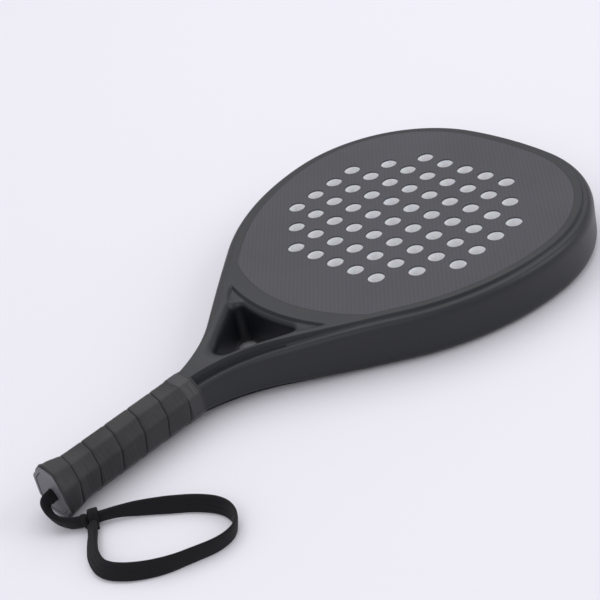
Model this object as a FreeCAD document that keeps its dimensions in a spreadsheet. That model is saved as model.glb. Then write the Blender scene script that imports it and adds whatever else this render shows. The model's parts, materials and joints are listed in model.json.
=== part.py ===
import FreeCAD, Part
import math
import os
import Sketcher

# Padel racket lying on its rear face. Origin on the resting surface under the middle of the
# racket's length; +Y towards the head's tip, +Z up through the thickness. Millimetres, degrees.

DRIVING = {
    # Overall
    "overall_length": 455.0,
    "head_width": 257.0,
    "thickness": 38.0,
    # Outline of the head and arms, as tangent arcs from the tip down to the handle
    "crown_radius": 290.0,
    "shoulder_radius": 104.5,
    "side_radius": 184.0,
    "arm_lean": 38.0,
    "neck_radius": 112.0,
    # Frame tube
    "frame_width": 15.0,
    "frame_wall": 1.8,
    "frame_roof": 7.5,
    "edge_round": 6.0,
    # Throat
    "heel_margin": 5.7,
    "heel_shift": 2.0,
    "bridge_width": 18.5,
    "bridge_half_span": 24.0,
    "arm_thickening": 3.0,
    "foot_half_width": 20.4,
    "throat_corner_radius": 5.0,
    "throat_foot_radius": 8.0,
    "throat_round": 3.0,
    # Faces and core
    "face_thickness": 1.0,
    "face_ledge": 2.0,
    "face_gap": 0.1,
    # Drilled holes
    "hole_pitch": 19.8,
    "hole_radius": 5.95,
    "pattern_drop": 125.2,
    "pattern_margin": 38.5,
    # Handle
    "arm_drop": 3.5,
    "arm_drop_length": 84.0,
    "grip_length": 117.5,
    "shank_half_width": 12.6,
    "shank_half_height": 13.1,
    "shank_chamfer": 7.0,
    "grip_thickness": 2.4,
    "tape_width": 12.0,
    "tape_thickness": 0.4,
    # Butt
    "flare": 2.7,
    "flare_length": 19.0,
    "cap_fit": 0.1,
    "flange_thickness": 1.6,
    "cap_floor": 1.6,
    "cap_lip": 0.8,
    "lip_ramp": 2.0,
    "plug_thickness": 2.0,
    "plug_recess": 0.4,
    "plug_gap": 0.4,
    "plug_rim": 3.6,
    # Wrist cord
    "cord_width": 11.0,
    "cord_thickness": 2.6,
    "lead_radius": 3.5,
    "cord_fit": 0.2,
    "stop_knot_radius": 7.0,
    "knot_chamber": 22.0,
    "slip_knot_length": 10.0,
    "slip_knot_width": 9.0,
}


def on_circle(centre, radius, bearing):
    """Point on a circle at a bearing from +Y, clockwise."""
    return (centre[0] + radius * math.sin(bearing), centre[1] + radius * math.cos(bearing))


def arm_edge_at(d, w, inset, radius):
    """Where the arm's edge, moved in by inset, meets a circle about the heel's centre."""
    bearing = w["side_bearing"]
    start = on_circle((w["side_x"], w["wide_y"]), d["side_radius"] - inset, bearing)
    down = (math.cos(bearing), -math.sin(bearing))
    rel = (start[0], start[1] - w["heel_y"])
    along = rel[0] * down[0] + rel[1] * down[1]
    step = -along + math.sqrt(along ** 2 - rel[0] ** 2 - rel[1] ** 2 + radius ** 2)
    return (start[0] + step * down[0], start[1] + step * down[1])


def work_out(d):
    """Places and sizes that follow from the driving ones."""
    w = {}
    half = d["head_width"] / 2
    w["tip_y"] = d["overall_length"] / 2
    w["butt_y"] = -d["overall_length"] / 2
    w["mid_z"] = d["thickness"] / 2
    w["pattern_y"] = w["tip_y"] - d["pattern_drop"]
    w["heel_y"] = w["pattern_y"] + d["heel_shift"]
    w["grip_top_y"] = w["butt_y"] + d["grip_length"]
    w["seat_y"] = w["butt_y"] + d["plug_recess"] + d["plug_thickness"]
    w["shank_end_y"] = w["seat_y"] + d["cap_floor"]
    # Centres of the outline's arcs
    spare = d["crown_radius"] - d["shoulder_radius"]
    w["crown_bearing"] = math.asin((half - d["shoulder_radius"]) / spare)
    w["crown_y"] = w["tip_y"] - d["crown_radius"]
    w["wide_y"] = w["crown_y"] + spare * math.cos(w["crown_bearing"])
    w["side_x"] = half - d["side_radius"]
    w["side_bearing"] = math.radians(90 + d["arm_lean"])
    arm_top = on_circle((w["side_x"], w["wide_y"]), d["side_radius"], w["side_bearing"])
    w["neck_x"] = d["shank_half_width"] + d["neck_radius"]
    across = (w["neck_x"] - arm_top[0]) * math.sin(w["side_bearing"])
    w["neck_y"] = arm_top[1] + (d["neck_radius"] - across) / math.cos(w["side_bearing"])
    # How far each outline lies inside the racket's own
    w["hollow_inset"] = d["frame_width"] - d["frame_wall"]
    w["ledge_inset"] = d["frame_width"] - d["face_ledge"]
    w["face_inset"] = w["ledge_inset"] + d["face_gap"]
    # Heel of the head, bridge and throat
    w["core_heel_radius"] = half - d["heel_margin"]
    w["bridge_radius"] = w["core_heel_radius"] + d["bridge_width"]
    foot_reach = w["neck_x"] - d["foot_half_width"]
    foot_y = w["neck_y"] + math.sqrt(d["neck_radius"] ** 2 - foot_reach ** 2)
    arm_width = d["frame_width"] + d["arm_thickening"]
    arm_inner = arm_edge_at(d, w, arm_width, w["bridge_radius"])
    half_angle = math.atan2(arm_inner[0], arm_inner[1] - foot_y)
    w["throat_half_angle"] = math.degrees(half_angle)
    w["throat_foot_y"] = foot_y + d["throat_foot_radius"] / math.sin(half_angle)
    # The drop of the arms' top and bottom runs from this point to the grip, on one arc
    w["drop_start_y"] = w["grip_top_y"] + d["arm_drop_length"]
    w["drop_radius"] = (d["arm_drop_length"] ** 2 + d["arm_drop"] ** 2) / (2 * d["arm_drop"])
    # Hole centres keep within this circle
    w["pattern_radius"] = min(half, d["pattern_drop"]) - d["pattern_margin"]
    return w


def make_sheet(doc, values):
    """Write every size as a plain number with its name as alias."""
    sheet = doc.addObject("Spreadsheet::Sheet", "Dims")
    for row, (name, value) in enumerate(values.items(), start=1):
        sheet.set(f"A{row}", name)
        sheet.set(f"B{row}", repr(float(value)))
        sheet.setAlias(f"B{row}", name)
    doc.recompute()
    return sheet


worked = work_out(DRIVING)
size = {**DRIVING, **worked}
doc = FreeCAD.newDocument("PadelRacket")
make_sheet(doc, size)


def number(expression):
    """Value of an expression over the sheet's names, such as 'frame_width - frame_wall'."""
    total = 0.0
    for term in expression.replace("- ", "-").replace("+ ", "+").split():
        sign = -1.0 if term.startswith("-") else 1.0
        name = term.lstrip("+-")
        total += sign * (size[name] if name in size else float(name))
    return total


def bound(expression):
    """The same expression with each name read from the sheet."""
    words = expression.split()
    return " ".join("Dims." + word if word in size else word for word in words)


class Drawing:
    """A sketch on one origin plane of its body, drawn with sizes bound to the sheet."""

    ORIGIN = -1
    Y_AXIS = -2

    def __init__(self, body, name, role, offset="0"):
        self.sketch = body.newObject("Sketcher::SketchObject", name)
        for feature in body.Origin.OriginFeatures:
            if feature.Role == role:
                self.sketch.AttachmentSupport = [(feature, "")]
        self.sketch.MapMode = "FlatFace"
        if offset != "0":
            self.sketch.setExpression("AttachmentOffset.Base.z", bound(offset))
        body.Document.recompute()

    def line(self, start, end):
        first = FreeCAD.Vector(start[0], start[1], 0)
        return self.sketch.addGeometry(Part.LineSegment(first, FreeCAD.Vector(end[0], end[1], 0)), False)

    def arc(self, centre, radius, start, end):
        """Arc from one angle to another, counter-clockwise, in degrees from +X."""
        circle = Part.Circle(FreeCAD.Vector(centre[0], centre[1], 0), FreeCAD.Vector(0, 0, 1), radius)
        shape = Part.ArcOfCircle(circle, math.radians(start), math.radians(end))
        return self.sketch.addGeometry(shape, False)

    def circle(self, centre, radius):
        shape = Part.Circle(FreeCAD.Vector(centre[0], centre[1], 0), FreeCAD.Vector(0, 0, 1), radius)
        return self.sketch.addGeometry(shape, False)

    def rule(self, kind, *ends):
        return self.sketch.addConstraint(Sketcher.Constraint(kind, *ends))

    def measure(self, kind, ends, value, expression):
        index = self.sketch.addConstraint(Sketcher.Constraint(kind, *ends, value))
        self.sketch.setExpression(f"Constraints[{index}]", expression)

    def radius(self, edge, expression):
        self.measure("Radius", (edge,), number(expression), bound(expression))

    def place(self, edge, point, axis, expression):
        """Distance of a point from the origin along X or Y."""
        value = number(expression)
        ends = (self.ORIGIN, 1, edge, point)
        self.measure("Distance" + axis, ends, value, bound(expression))

    def on_axis(self, edge, point):
        self.rule("PointOnObject", edge, point, self.Y_AXIS)

    def solved(self):
        code = self.sketch.solve()
        if code != 0:
            raise RuntimeError(f"{self.sketch.Name}: sketch solver returned {code}")
        return self.sketch


def head_arcs(drawing, inset):
    """Crown, shoulder and side arcs of the outline moved in by inset, and the arm's edge."""
    move = number(inset)
    side_end = -size["arm_lean"]
    bend = 90 - math.degrees(size["crown_bearing"])
    crown_x = (size["crown_radius"] - size["shoulder_radius"]) * math.sin(size["crown_bearing"])
    crown = drawing.arc((0, size["crown_y"]), size["crown_radius"] - move, bend, 90)
    shoulder = drawing.arc((crown_x, size["wide_y"]), size["shoulder_radius"] - move, 0, bend)
    centre = (size["side_x"], size["wide_y"])
    side = drawing.arc(centre, size["side_radius"] - move, side_end, 0)
    drawing.on_axis(crown, 3)
    drawing.on_axis(crown, 2)
    drawing.rule("Tangent", crown, 1, shoulder, 2)
    drawing.rule("Tangent", shoulder, 1, side, 2)
    drawing.rule("Horizontal", shoulder, 3, shoulder, 1)
    drawing.radius(crown, "crown_radius - " + inset)
    drawing.radius(shoulder, "shoulder_radius - " + inset)
    drawing.radius(side, "side_radius - " + inset)
    drawing.place(crown, 2, "Y", "tip_y - " + inset)
    half_width = size["head_width"] / 2 - move
    drawing.measure("DistanceX", (-1, 1, shoulder, 1), half_width, "Dims.head_width / 2 - " + bound(inset))
    return crown, side


def arm_line(drawing, side, inset, lower):
    """Straight edge of the arm, from its lower end up to the side arc."""
    bearing = size["side_bearing"]
    upper = on_circle((size["side_x"], size["wide_y"]), size["side_radius"] - number(inset), bearing)
    arm = drawing.line(lower, upper)
    drawing.rule("Tangent", side, 1, arm, 2)
    drawing.measure("Angle", (arm,), math.radians(90 - size["arm_lean"]), "90 deg - Dims.arm_lean * 1 deg")
    return arm


def racket_outline(body, name, inset, level):
    """Right half of the whole outline, from the tip to the shank's end, moved in by inset."""
    drawing = Drawing(body, name, "XY_Plane", level)
    crown, side = head_arcs(drawing, inset)
    move = number(inset)
    neck = (size["neck_x"], size["neck_y"])
    lower = on_circle(neck, size["neck_radius"] + move, size["side_bearing"] + math.pi)
    arm = arm_line(drawing, side, inset, lower)
    bend = drawing.arc(neck, size["neck_radius"] + move, 180 - size["arm_lean"], 180)
    shank_x = size["shank_half_width"] - move
    end_y = size["shank_end_y"]
    shank = drawing.line((shank_x, size["neck_y"]), (shank_x, end_y))
    butt = drawing.line((shank_x, end_y), (0, end_y))
    axis = drawing.line((0, end_y), (0, size["tip_y"] - move))
    drawing.rule("Tangent", arm, 1, bend, 1)
    drawing.rule("Tangent", bend, 2, shank, 1)
    drawing.rule("Coincident", shank, 2, butt, 1)
    drawing.rule("Coincident", butt, 2, axis, 1)
    drawing.rule("Coincident", axis, 2, crown, 2)
    drawing.rule("Vertical", shank)
    drawing.rule("Horizontal", butt)
    drawing.on_axis(axis, 1)
    drawing.radius(bend, "neck_radius + " + inset)
    drawing.place(shank, 1, "X", "shank_half_width - " + inset)
    drawing.measure("DistanceY", (axis, 1, -1, 1), -end_y, "-Dims.shank_end_y")
    return drawing.solved()


def head_outline(body, name, inset, heel_radius, level):
    """Right half of the head alone, closed below by an arc about the heel's centre."""
    drawing = Drawing(body, name, "XY_Plane", level)
    crown, side = head_arcs(drawing, inset)
    radius = number(heel_radius)
    corner = arm_edge_at(size, size, number(inset), radius)
    arm = arm_line(drawing, side, inset, corner)
    sweep = math.degrees(math.atan2(corner[0], size["heel_y"] - corner[1]))
    heel = drawing.arc((0, size["heel_y"]), radius, 270, 270 + sweep)
    axis = drawing.line((0, size["heel_y"] - radius), (0, size["tip_y"] - number(inset)))
    drawing.on_axis(heel, 3)
    drawing.on_axis(heel, 1)
    drawing.place(heel, 3, "Y", "heel_y")
    drawing.radius(heel, heel_radius)
    drawing.rule("Coincident", heel, 2, arm, 1)
    drawing.rule("Coincident", axis, 1, heel, 1)
    drawing.rule("Coincident", axis, 2, crown, 2)
    return drawing.solved()


def throat_outline(body, name, grow):
    """Right half of the throat's opening, made larger all round by grow."""
    drawing = Drawing(body, name, "XY_Plane")
    more = number(grow)
    angle = math.radians(size["throat_half_angle"])
    bridge_radius = size["bridge_radius"] - more
    corner_radius = size["throat_corner_radius"] + more
    foot_radius = size["throat_foot_radius"] + more
    heel_y = size["heel_y"]
    foot_y = size["throat_foot_y"]
    # The corner's centre keeps its distance from the arm's edge and from the bridge's arc
    edge_gap = size["throat_corner_radius"] - size["throat_foot_radius"]
    reach = size["bridge_radius"] + size["throat_corner_radius"]
    base = (-edge_gap * math.cos(angle), foot_y + edge_gap * math.sin(angle) - heel_y)
    uphill = (math.sin(angle), math.cos(angle))
    along = base[0] * uphill[0] + base[1] * uphill[1]
    step = -along - math.sqrt(along ** 2 - base[0] ** 2 - base[1] ** 2 + reach ** 2)
    corner = (base[0] + step * uphill[0], base[1] + step * uphill[1] + heel_y)
    towards = math.degrees(math.atan2(heel_y - corner[1], -corner[0]))
    outward = (math.cos(angle), -math.sin(angle))
    arm_low = (foot_radius * outward[0], foot_y + foot_radius * outward[1])
    arm_high = (corner[0] + corner_radius * outward[0], corner[1] + corner_radius * outward[1])
    bridge = drawing.arc((0, heel_y), bridge_radius, 270, 180 + towards)
    bend = drawing.arc(corner, corner_radius, -size["throat_half_angle"], towards)
    arm = drawing.line(arm_low, arm_high)
    foot = drawing.arc((0, foot_y), foot_radius, 270, 360 - size["throat_half_angle"])
    axis = drawing.line((0, foot_y - foot_radius), (0, heel_y - bridge_radius))
    drawing.on_axis(bridge, 3)
    drawing.on_axis(bridge, 1)
    drawing.place(bridge, 3, "Y", "heel_y")
    drawing.radius(bridge, "bridge_radius - " + grow)
    drawing.rule("Tangent", bridge, 2, bend, 2)
    drawing.rule("Tangent", bend, 1, arm, 2)
    drawing.rule("Tangent", arm, 1, foot, 2)
    drawing.on_axis(foot, 3)
    drawing.on_axis(foot, 1)
    drawing.radius(bend, "throat_corner_radius + " + grow)
    drawing.radius(foot, "throat_foot_radius + " + grow)
    drawing.measure("Angle", (arm,), math.pi / 2 - angle, "90 deg - Dims.throat_half_angle * 1 deg")
    drawing.measure("DistanceY", (foot, 3, -1, 1), -foot_y, "-Dims.throat_foot_y")
    drawing.rule("Coincident", axis, 1, foot, 1)
    drawing.rule("Coincident", axis, 2, bridge, 1)
    return drawing.solved()


def octagon(body, name, y, grow):
    """The handle's section at height y along the handle, made larger all round by grow."""
    drawing = Drawing(body, name, "XZ_Plane", f"-( {y} )")
    more = number(grow)
    wide = size["shank_half_width"] + more
    high = size["shank_half_height"] + more
    leg = size["shank_chamfer"] + more * (2 - math.sqrt(2))
    half_width = "(Dims.shank_half_width + " + bound(grow) + ")"
    half_height = "(Dims.shank_half_height + " + bound(grow) + ")"
    cut = "(Dims.shank_chamfer + (" + bound(grow) + ") * (2 - sqrt(2)))"
    corners = []
    signs = (
        (1, -1, 0),
        (1, 1, 0),
        (1, 1, 1),
        (-1, 1, 1),
        (-1, 1, 0),
        (-1, -1, 0),
        (-1, -1, 1),
        (1, -1, 1),
    )
    for right, up, flat in signs:
        x = wide - leg * flat
        z = high - leg * (1 - flat)
        x_bound = half_width + (" - " + cut if flat else "")
        z_bound = half_height + ("" if flat else " - " + cut)
        corners.append((right, up, x, z, x_bound, z_bound))
    sides = []
    for here, there in zip(corners, corners[1:] + corners[:1]):
        start = (here[0] * here[2], size["mid_z"] + here[1] * here[3])
        end = (there[0] * there[2], size["mid_z"] + there[1] * there[3])
        sides.append(drawing.line(start, end))
    for index, (right, up, x, z, x_bound, z_bound) in enumerate(corners):
        side = sides[index]
        drawing.rule("Coincident", sides[index - 1], 2, side, 1)
        ends = (-1, 1, side, 1) if right > 0 else (side, 1, -1, 1)
        drawing.measure("DistanceX", ends, x, x_bound)
        sign = " + " if up > 0 else " - "
        height = size["mid_z"] + up * z
        drawing.measure("DistanceY", (-1, 1, side, 1), height, "Dims.mid_z" + sign + "(" + z_bound + ")")
    return drawing.solved()


def new_body(label):
    body = doc.addObject("PartDesign::Body", label)
    body.Label = label
    return body


def pad(body, sketch, length, backwards=False):
    feature = body.newObject("PartDesign::Pad", sketch.Name + "_pad")
    feature.Profile = sketch
    feature.setExpression("Length", bound(length))
    feature.Reversed = backwards
    doc.recompute()
    return feature


def pocket(body, sketch, length="", side="One side", backwards=False):
    """Cut a sketch into the body, right through where no length is given."""
    before = body.Shape.Volume
    feature = body.newObject("PartDesign::Pocket", sketch.Name + "_pocket")
    feature.Profile = sketch
    feature.SideType = side
    feature.Reversed = backwards
    if length:
        feature.setExpression("Length", bound(length))
    else:
        feature.Type = "ThroughAll"
    doc.recompute()
    if not body.Shape.Volume < before - 1:
        raise RuntimeError(sketch.Name + " cut nothing")
    return feature


def loft(body, sections, kind="PartDesign::AdditiveLoft"):
    feature = body.newObject(kind, sections[0].Name + "_loft")
    feature.Profile = sections[0]
    feature.Sections = sections[1:]
    feature.Ruled = True
    doc.recompute()
    return feature


def rim_edges(body, sketch, lowest_y):
    """Level edges of the body that stand over a sketch's outline, above a height along the handle."""
    names = []
    level = sketch.Shape.BoundBox.ZMin
    outline = sketch.Shape
    for index, edge in enumerate(body.Shape.Edges, start=1):
        middle = edge.valueAt((edge.FirstParameter + edge.LastParameter) / 2)
        slope = abs(edge.tangentAt((edge.FirstParameter + edge.LastParameter) / 2).z)
        if middle.x < 0.5 or middle.y < lowest_y or slope > 0.5:
            continue
        if outline.distToShape(Part.Vertex(middle.x, middle.y, level))[0] < 0.01:
            names.append(f"Edge{index}")
    return names


def round_over(body, sketch, radius, lowest_y):
    """Round the top and bottom edges that follow a sketch's outline."""
    base = body.Tip
    edges = rim_edges(body, sketch, lowest_y)
    feature = body.newObject("PartDesign::Fillet", sketch.Name + "_round")
    feature.Base = (base, edges)
    feature.setExpression("Radius", bound(radius))
    doc.recompute()
    return feature


def arm_drop_profile(body, name, roof):
    """Side view of what is cut off above and below, where the arms run down to the grip."""
    drawing = Drawing(body, name, "YZ_Plane")
    top = size["thickness"] - number(roof)
    radius = size["drop_radius"]
    sweep = math.degrees(math.asin(size["arm_drop_length"] / radius))
    beyond = size["butt_y"] - size["flange_thickness"]
    start = size["drop_start_y"]
    grip_top = size["grip_top_y"]
    for up in (1, -1):
        level = top if up > 0 else number(roof)
        low = level - up * size["arm_drop"]
        clear = level + up * size["arm_drop"]
        centre = (start, level - up * radius)
        if up > 0:
            curve = drawing.arc(centre, radius, 90, 90 + sweep)
            near, far = 1, 2
        else:
            curve = drawing.arc(centre, radius, 270 - sweep, 270)
            near, far = 2, 1
        flat = drawing.line((grip_top, low), (beyond, low))
        end = drawing.line((beyond, low), (beyond, clear))
        back = drawing.line((beyond, clear), (start, clear))
        face = drawing.line((start, clear), (start, level))
        drawing.rule("Coincident", curve, far, flat, 1)
        drawing.rule("Coincident", flat, 2, end, 1)
        drawing.rule("Coincident", end, 2, back, 1)
        drawing.rule("Coincident", back, 2, face, 1)
        drawing.rule("Coincident", face, 2, curve, near)
        drawing.rule("Horizontal", flat)
        drawing.rule("Vertical", end)
        drawing.rule("Horizontal", back)
        drawing.rule("Vertical", face)
        drawing.rule("Vertical", curve, 3, curve, near)
        drawing.radius(curve, "drop_radius")
        roof_bound = bound(roof)
        height = "Dims.thickness - " + roof_bound if up > 0 else roof_bound
        if number(roof) == 0 and up < 0:
            drawing.rule("PointOnObject", curve, near, -1)
        else:
            drawing.measure("DistanceY", (-1, 1, curve, near), level, height)
        drawing.measure("DistanceX", (curve, near, -1, 1), -start, "-Dims.drop_start_y")
        drawing.measure("DistanceX", (curve, far, -1, 1), -grip_top, "-Dims.grip_top_y")
        past_butt = "Dims.overall_length / 2 + Dims.flange_thickness"
        drawing.measure("DistanceX", (end, 1, -1, 1), -beyond, past_butt)
        drawing.measure("Distance", (face,), size["arm_drop"], "Dims.arm_drop")
    return drawing.solved()


def shank_profile(body, name, grow):
    """Ring round the handle's octagon, which trims the outline's legs to the handle's section."""
    sketch = octagon(body, name, "grip_top_y", grow)
    half_width = size["head_width"] / 4
    low = -size["thickness"] / 2
    high = size["thickness"] * 1.5
    corners = [(-half_width, low), (half_width, low), (half_width, high), (-half_width, high)]
    for start, end in zip(corners, corners[1:] + corners[:1]):
        line = Part.LineSegment(FreeCAD.Vector(start[0], start[1], 0), FreeCAD.Vector(end[0], end[1], 0))
        index = sketch.addGeometry(line, False)
        sketch.addConstraint(Sketcher.Constraint("Block", index))
    return sketch


def mirrored(half, label):
    """Both halves of a piece that is alike on each side of the racket's middle plane."""
    other = doc.addObject("Part::Mirroring", label + "_other_half")
    other.Source = half
    other.Base = FreeCAD.Vector(0, 0, 0)
    other.Normal = FreeCAD.Vector(1, 0, 0)
    whole = doc.addObject("Part::Fuse", label)
    whole.Base = half
    whole.Tool = other
    whole.Refine = True
    doc.recompute()
    return whole


def boolean(kind, label, base, tool):
    result = doc.addObject("Part::" + kind, label)
    result.Base = base
    result.Tool = tool
    result.Label = label
    doc.recompute()
    return result


def block(label, low, high):
    """Box between two corners given as expressions over the sheet's names."""
    box = doc.addObject("Part::Box", label)
    for axis, side, first, last in zip("xyz", ("Length", "Width", "Height"), low, high):
        box.setExpression("Placement.Base." + axis, bound(first))
        box.setExpression(side, bound(last) + " - (" + bound(first) + ")")
    doc.recompute()
    return box


# Frame: one hollow laminate moulding round the head, down both arms and into the handle.
frame_half = new_body("frame_half")
frame_outline = racket_outline(frame_half, "frame_outline", "0", "0")
pad(frame_half, frame_outline, "thickness")
pocket(frame_half, arm_drop_profile(frame_half, "frame_drop", "0"), side="Symmetric")
pocket(frame_half, shank_profile(frame_half, "frame_shank", "0"), backwards=True)
round_over(frame_half, frame_outline, "edge_round", size["grip_top_y"])
frame_head = head_outline(frame_half, "frame_head", "frame_width", "core_heel_radius", "0")
pocket(frame_half, frame_head, backwards=True)
frame_throat = throat_outline(frame_half, "frame_throat", "0")
pocket(frame_half, frame_throat, backwards=True)
round_over(frame_half, frame_throat, "throat_round", size["grip_top_y"])
for name, level, upwards in (("rear_ledge", "0", True), ("front_ledge", "thickness", False)):
    ledge = head_outline(frame_half, name, "ledge_inset", "core_heel_radius + face_ledge", level)
    pocket(frame_half, ledge, "face_thickness", backwards=upwards)
frame_whole = mirrored(frame_half, "frame_whole")

# Hollow of the frame: the same outline moved in by the wall, open only at the butt.
hollow_half = new_body("hollow_half")
hollow_outline = racket_outline(hollow_half, "hollow_outline", "frame_wall", "frame_roof")
pad(hollow_half, hollow_outline, "thickness - frame_roof - frame_roof")
pocket(hollow_half, arm_drop_profile(hollow_half, "hollow_drop", "frame_roof"), side="Symmetric")
pocket(hollow_half, shank_profile(hollow_half, "hollow_shank", "- frame_wall"), backwards=True)
hollow_head = head_outline(hollow_half, "hollow_head", "hollow_inset", "core_heel_radius + frame_wall", "0")
pocket(hollow_half, hollow_head, backwards=True)
pocket(hollow_half, throat_outline(hollow_half, "hollow_throat", "frame_wall"), backwards=True)
# At the butt the hollow opens out to the wall all round, as a chamber for the cord's stop knot
knot_bore = octagon(hollow_half, "knot_bore", "shank_end_y", "- frame_wall")
pad(hollow_half, knot_bore, "knot_chamber", backwards=True)
hollow_whole = mirrored(hollow_half, "hollow_whole")
frame_shell = boolean("Cut", "frame_shell", frame_whole, hollow_whole)

# The bridge is a bar of its own between the arms, cut from the same moulded section.
bridge_zone = block(
    "bridge_zone",
    ("- bridge_half_span", "heel_y - bridge_radius - throat_corner_radius", "- face_thickness"),
    ("bridge_half_span", "heel_y - core_heel_radius + bridge_width", "thickness + face_thickness"),
)
frame_tube = boolean("Cut", "frame_tube", frame_shell, bridge_zone)
throat_bridge = boolean("Common", "throat_bridge", frame_shell, bridge_zone)

# Foam that fills the hollow, short of the chamber that the cord's stop knot lies in.
knot_chamber = block(
    "knot_chamber_zone",
    ("- shank_half_width", "shank_end_y", "0"),
    ("shank_half_width", "shank_end_y + knot_chamber", "thickness"),
)
foam_whole = boolean("Cut", "foam_whole", hollow_whole, knot_chamber)
frame_foam = boolean("Cut", "frame_foam", foam_whole, bridge_zone)
bridge_foam = boolean("Common", "bridge_foam", foam_whole, bridge_zone)


def hole_pattern(body, name, level):
    """Circles of the square lattice of drilled holes, on the right half and the middle line."""
    drawing = Drawing(body, name, "XY_Plane", level)
    pitch = size["hole_pitch"]
    reach = size["pattern_radius"]
    rows = int(reach / pitch) + 1
    for row in range(-rows, rows):
        for column in range(rows + 1):
            x = column * pitch
            y = (row + 0.5) * pitch
            if math.hypot(x, y) > reach:
                continue
            hole = drawing.circle((x, size["pattern_y"] + y), size["hole_radius"])
            drawing.radius(hole, "hole_radius")
            if column == 0:
                drawing.on_axis(hole, 3)
            else:
                drawing.measure("DistanceX", (-1, 1, hole, 3), x, f"Dims.hole_pitch * {column}")
            height = f"Dims.pattern_y + Dims.hole_pitch * {row + 0.5}"
            drawing.measure("DistanceY", (-1, 1, hole, 3), size["pattern_y"] + y, height)
    return drawing.solved()


def drilled_plate(label, inset, heel_radius, level, thickness):
    """A sheet or slab of the head's outline with every hole drilled through it."""
    half = new_body(label + "_half")
    outline = head_outline(half, label + "_outline", inset, heel_radius, level)
    pad(half, outline, thickness)
    pocket(half, hole_pattern(half, label + "_holes", level), backwards=True)
    return mirrored(half, label)


# Core: pale foam slab that fills the frame between the two face sheets.
core_depth = "thickness - face_thickness - face_thickness"
core = drilled_plate("core", "frame_width", "core_heel_radius", "face_thickness", core_depth)

# Face sheets: thin woven laminate let into a ledge of the frame, a narrow gap all round.
face_heel = "core_heel_radius + face_ledge - face_gap"
front_level = "thickness - face_thickness"
rear_face = drilled_plate("rear_face", "face_inset", face_heel, "0", "face_thickness")
front_face = drilled_plate("front_face", "face_inset", face_heel, front_level, "face_thickness")


# Grip: cushioned strip wound round the handle, with the cap's flare under its lower end.
def handle_sections(body, name, grow):
    """Octagons along the handle: straight, then over the cap's lip and flare to its flange."""
    stations = (
        ("top", "grip_top_y", "0"),
        ("straight", "butt_y + flare_length + lip_ramp", "0"),
        ("lip", "butt_y + flare_length", "cap_lip"),
        ("end", "butt_y + flange_thickness", "flare"),
    )
    return [octagon(body, name + "_" + station, y, grow + " + " + more) for station, y, more in stations]


cushion_grip = new_body("cushion_grip")
loft(cushion_grip, handle_sections(cushion_grip, "grip_outer", "grip_thickness"))
loft(cushion_grip, handle_sections(cushion_grip, "grip_inner", "0"), "PartDesign::SubtractiveLoft")

# Finishing tape round the top end of the grip.
finishing_tape = new_body("finishing_tape")
tape_outer = octagon(finishing_tape, "tape_outer", "grip_top_y", "grip_thickness + tape_thickness")
pad(finishing_tape, tape_outer, "tape_width")
tape_inner = octagon(finishing_tape, "tape_inner", "grip_top_y", "grip_thickness")
pocket(finishing_tape, tape_inner, backwards=True)

# Butt cap: flared collar on the shank's end, with a flange that the grip stops against.
butt_cap = new_body("butt_cap")
collar_top = octagon(butt_cap, "collar_top", "butt_y + flare_length", "cap_lip")
collar_end = octagon(butt_cap, "collar_end", "butt_y + flange_thickness", "flare")
loft(butt_cap, [collar_top, collar_end])
flange = octagon(butt_cap, "flange", "butt_y", "flare + grip_thickness")
pad(butt_cap, flange, "flange_thickness", backwards=True)
pocket(butt_cap, octagon(butt_cap, "shank_seat", "shank_end_y", "cap_fit"))
plug_seat = octagon(butt_cap, "plug_seat", "butt_y", "flare + grip_thickness - plug_rim")
pocket(butt_cap, plug_seat, "plug_recess + plug_thickness")


def cord_hole(body, name, y):
    """Hole for the cord on the handle's axis."""
    drawing = Drawing(body, name, "XZ_Plane", f"-( {y} )")
    radius = size["lead_radius"] + size["cord_fit"]
    hole = drawing.circle((0, size["mid_z"]), radius)
    drawing.on_axis(hole, 3)
    drawing.place(hole, 3, "Y", "mid_z")
    drawing.radius(hole, "lead_radius + cord_fit")
    return drawing.solved()


pocket(butt_cap, cord_hole(butt_cap, "cap_hole", "butt_y"))

# Butt plug: grey plate in the cap's recess, a gap all round.
butt_plug = new_body("butt_plug")
plug_outline = octagon(
    butt_plug, "plug_outline", "butt_y + plug_recess", "flare + grip_thickness - plug_rim - plug_gap"
)
pad(butt_plug, plug_outline, "plug_thickness", backwards=True)
pocket(butt_plug, cord_hole(butt_plug, "plug_hole", "butt_y"))

# Stop knot: the cord's tied end behind the cap's floor, and its stub through both holes.
cord_stub = doc.addObject("Part::Cylinder", "cord_stub")
cord_stub.Placement.Rotation = FreeCAD.Rotation(FreeCAD.Vector(1, 0, 0), -90)
cord_stub.setExpression("Radius", "Dims.lead_radius")
cord_stub.setExpression("Height", "Dims.plug_thickness + Dims.cap_floor + Dims.stop_knot_radius / 2")
cord_stub.setExpression("Placement.Base.y", "Dims.butt_y + Dims.plug_recess")
cord_stub.setExpression("Placement.Base.z", "Dims.mid_z")
knot_ball = doc.addObject("Part::Sphere", "knot_ball")
knot_ball.Placement.Rotation = FreeCAD.Rotation(FreeCAD.Vector(1, 0, 0), -90)
knot_ball.Angle1 = -45
knot_ball.setExpression("Radius", "Dims.stop_knot_radius")
knot_ball.setExpression("Placement.Base.y", "Dims.shank_end_y + Dims.stop_knot_radius * sin(45 deg)")
knot_ball.setExpression("Placement.Base.z", "Dims.mid_z")
stop_knot = boolean("Fuse", "stop_knot", knot_ball, cord_stub)


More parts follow.
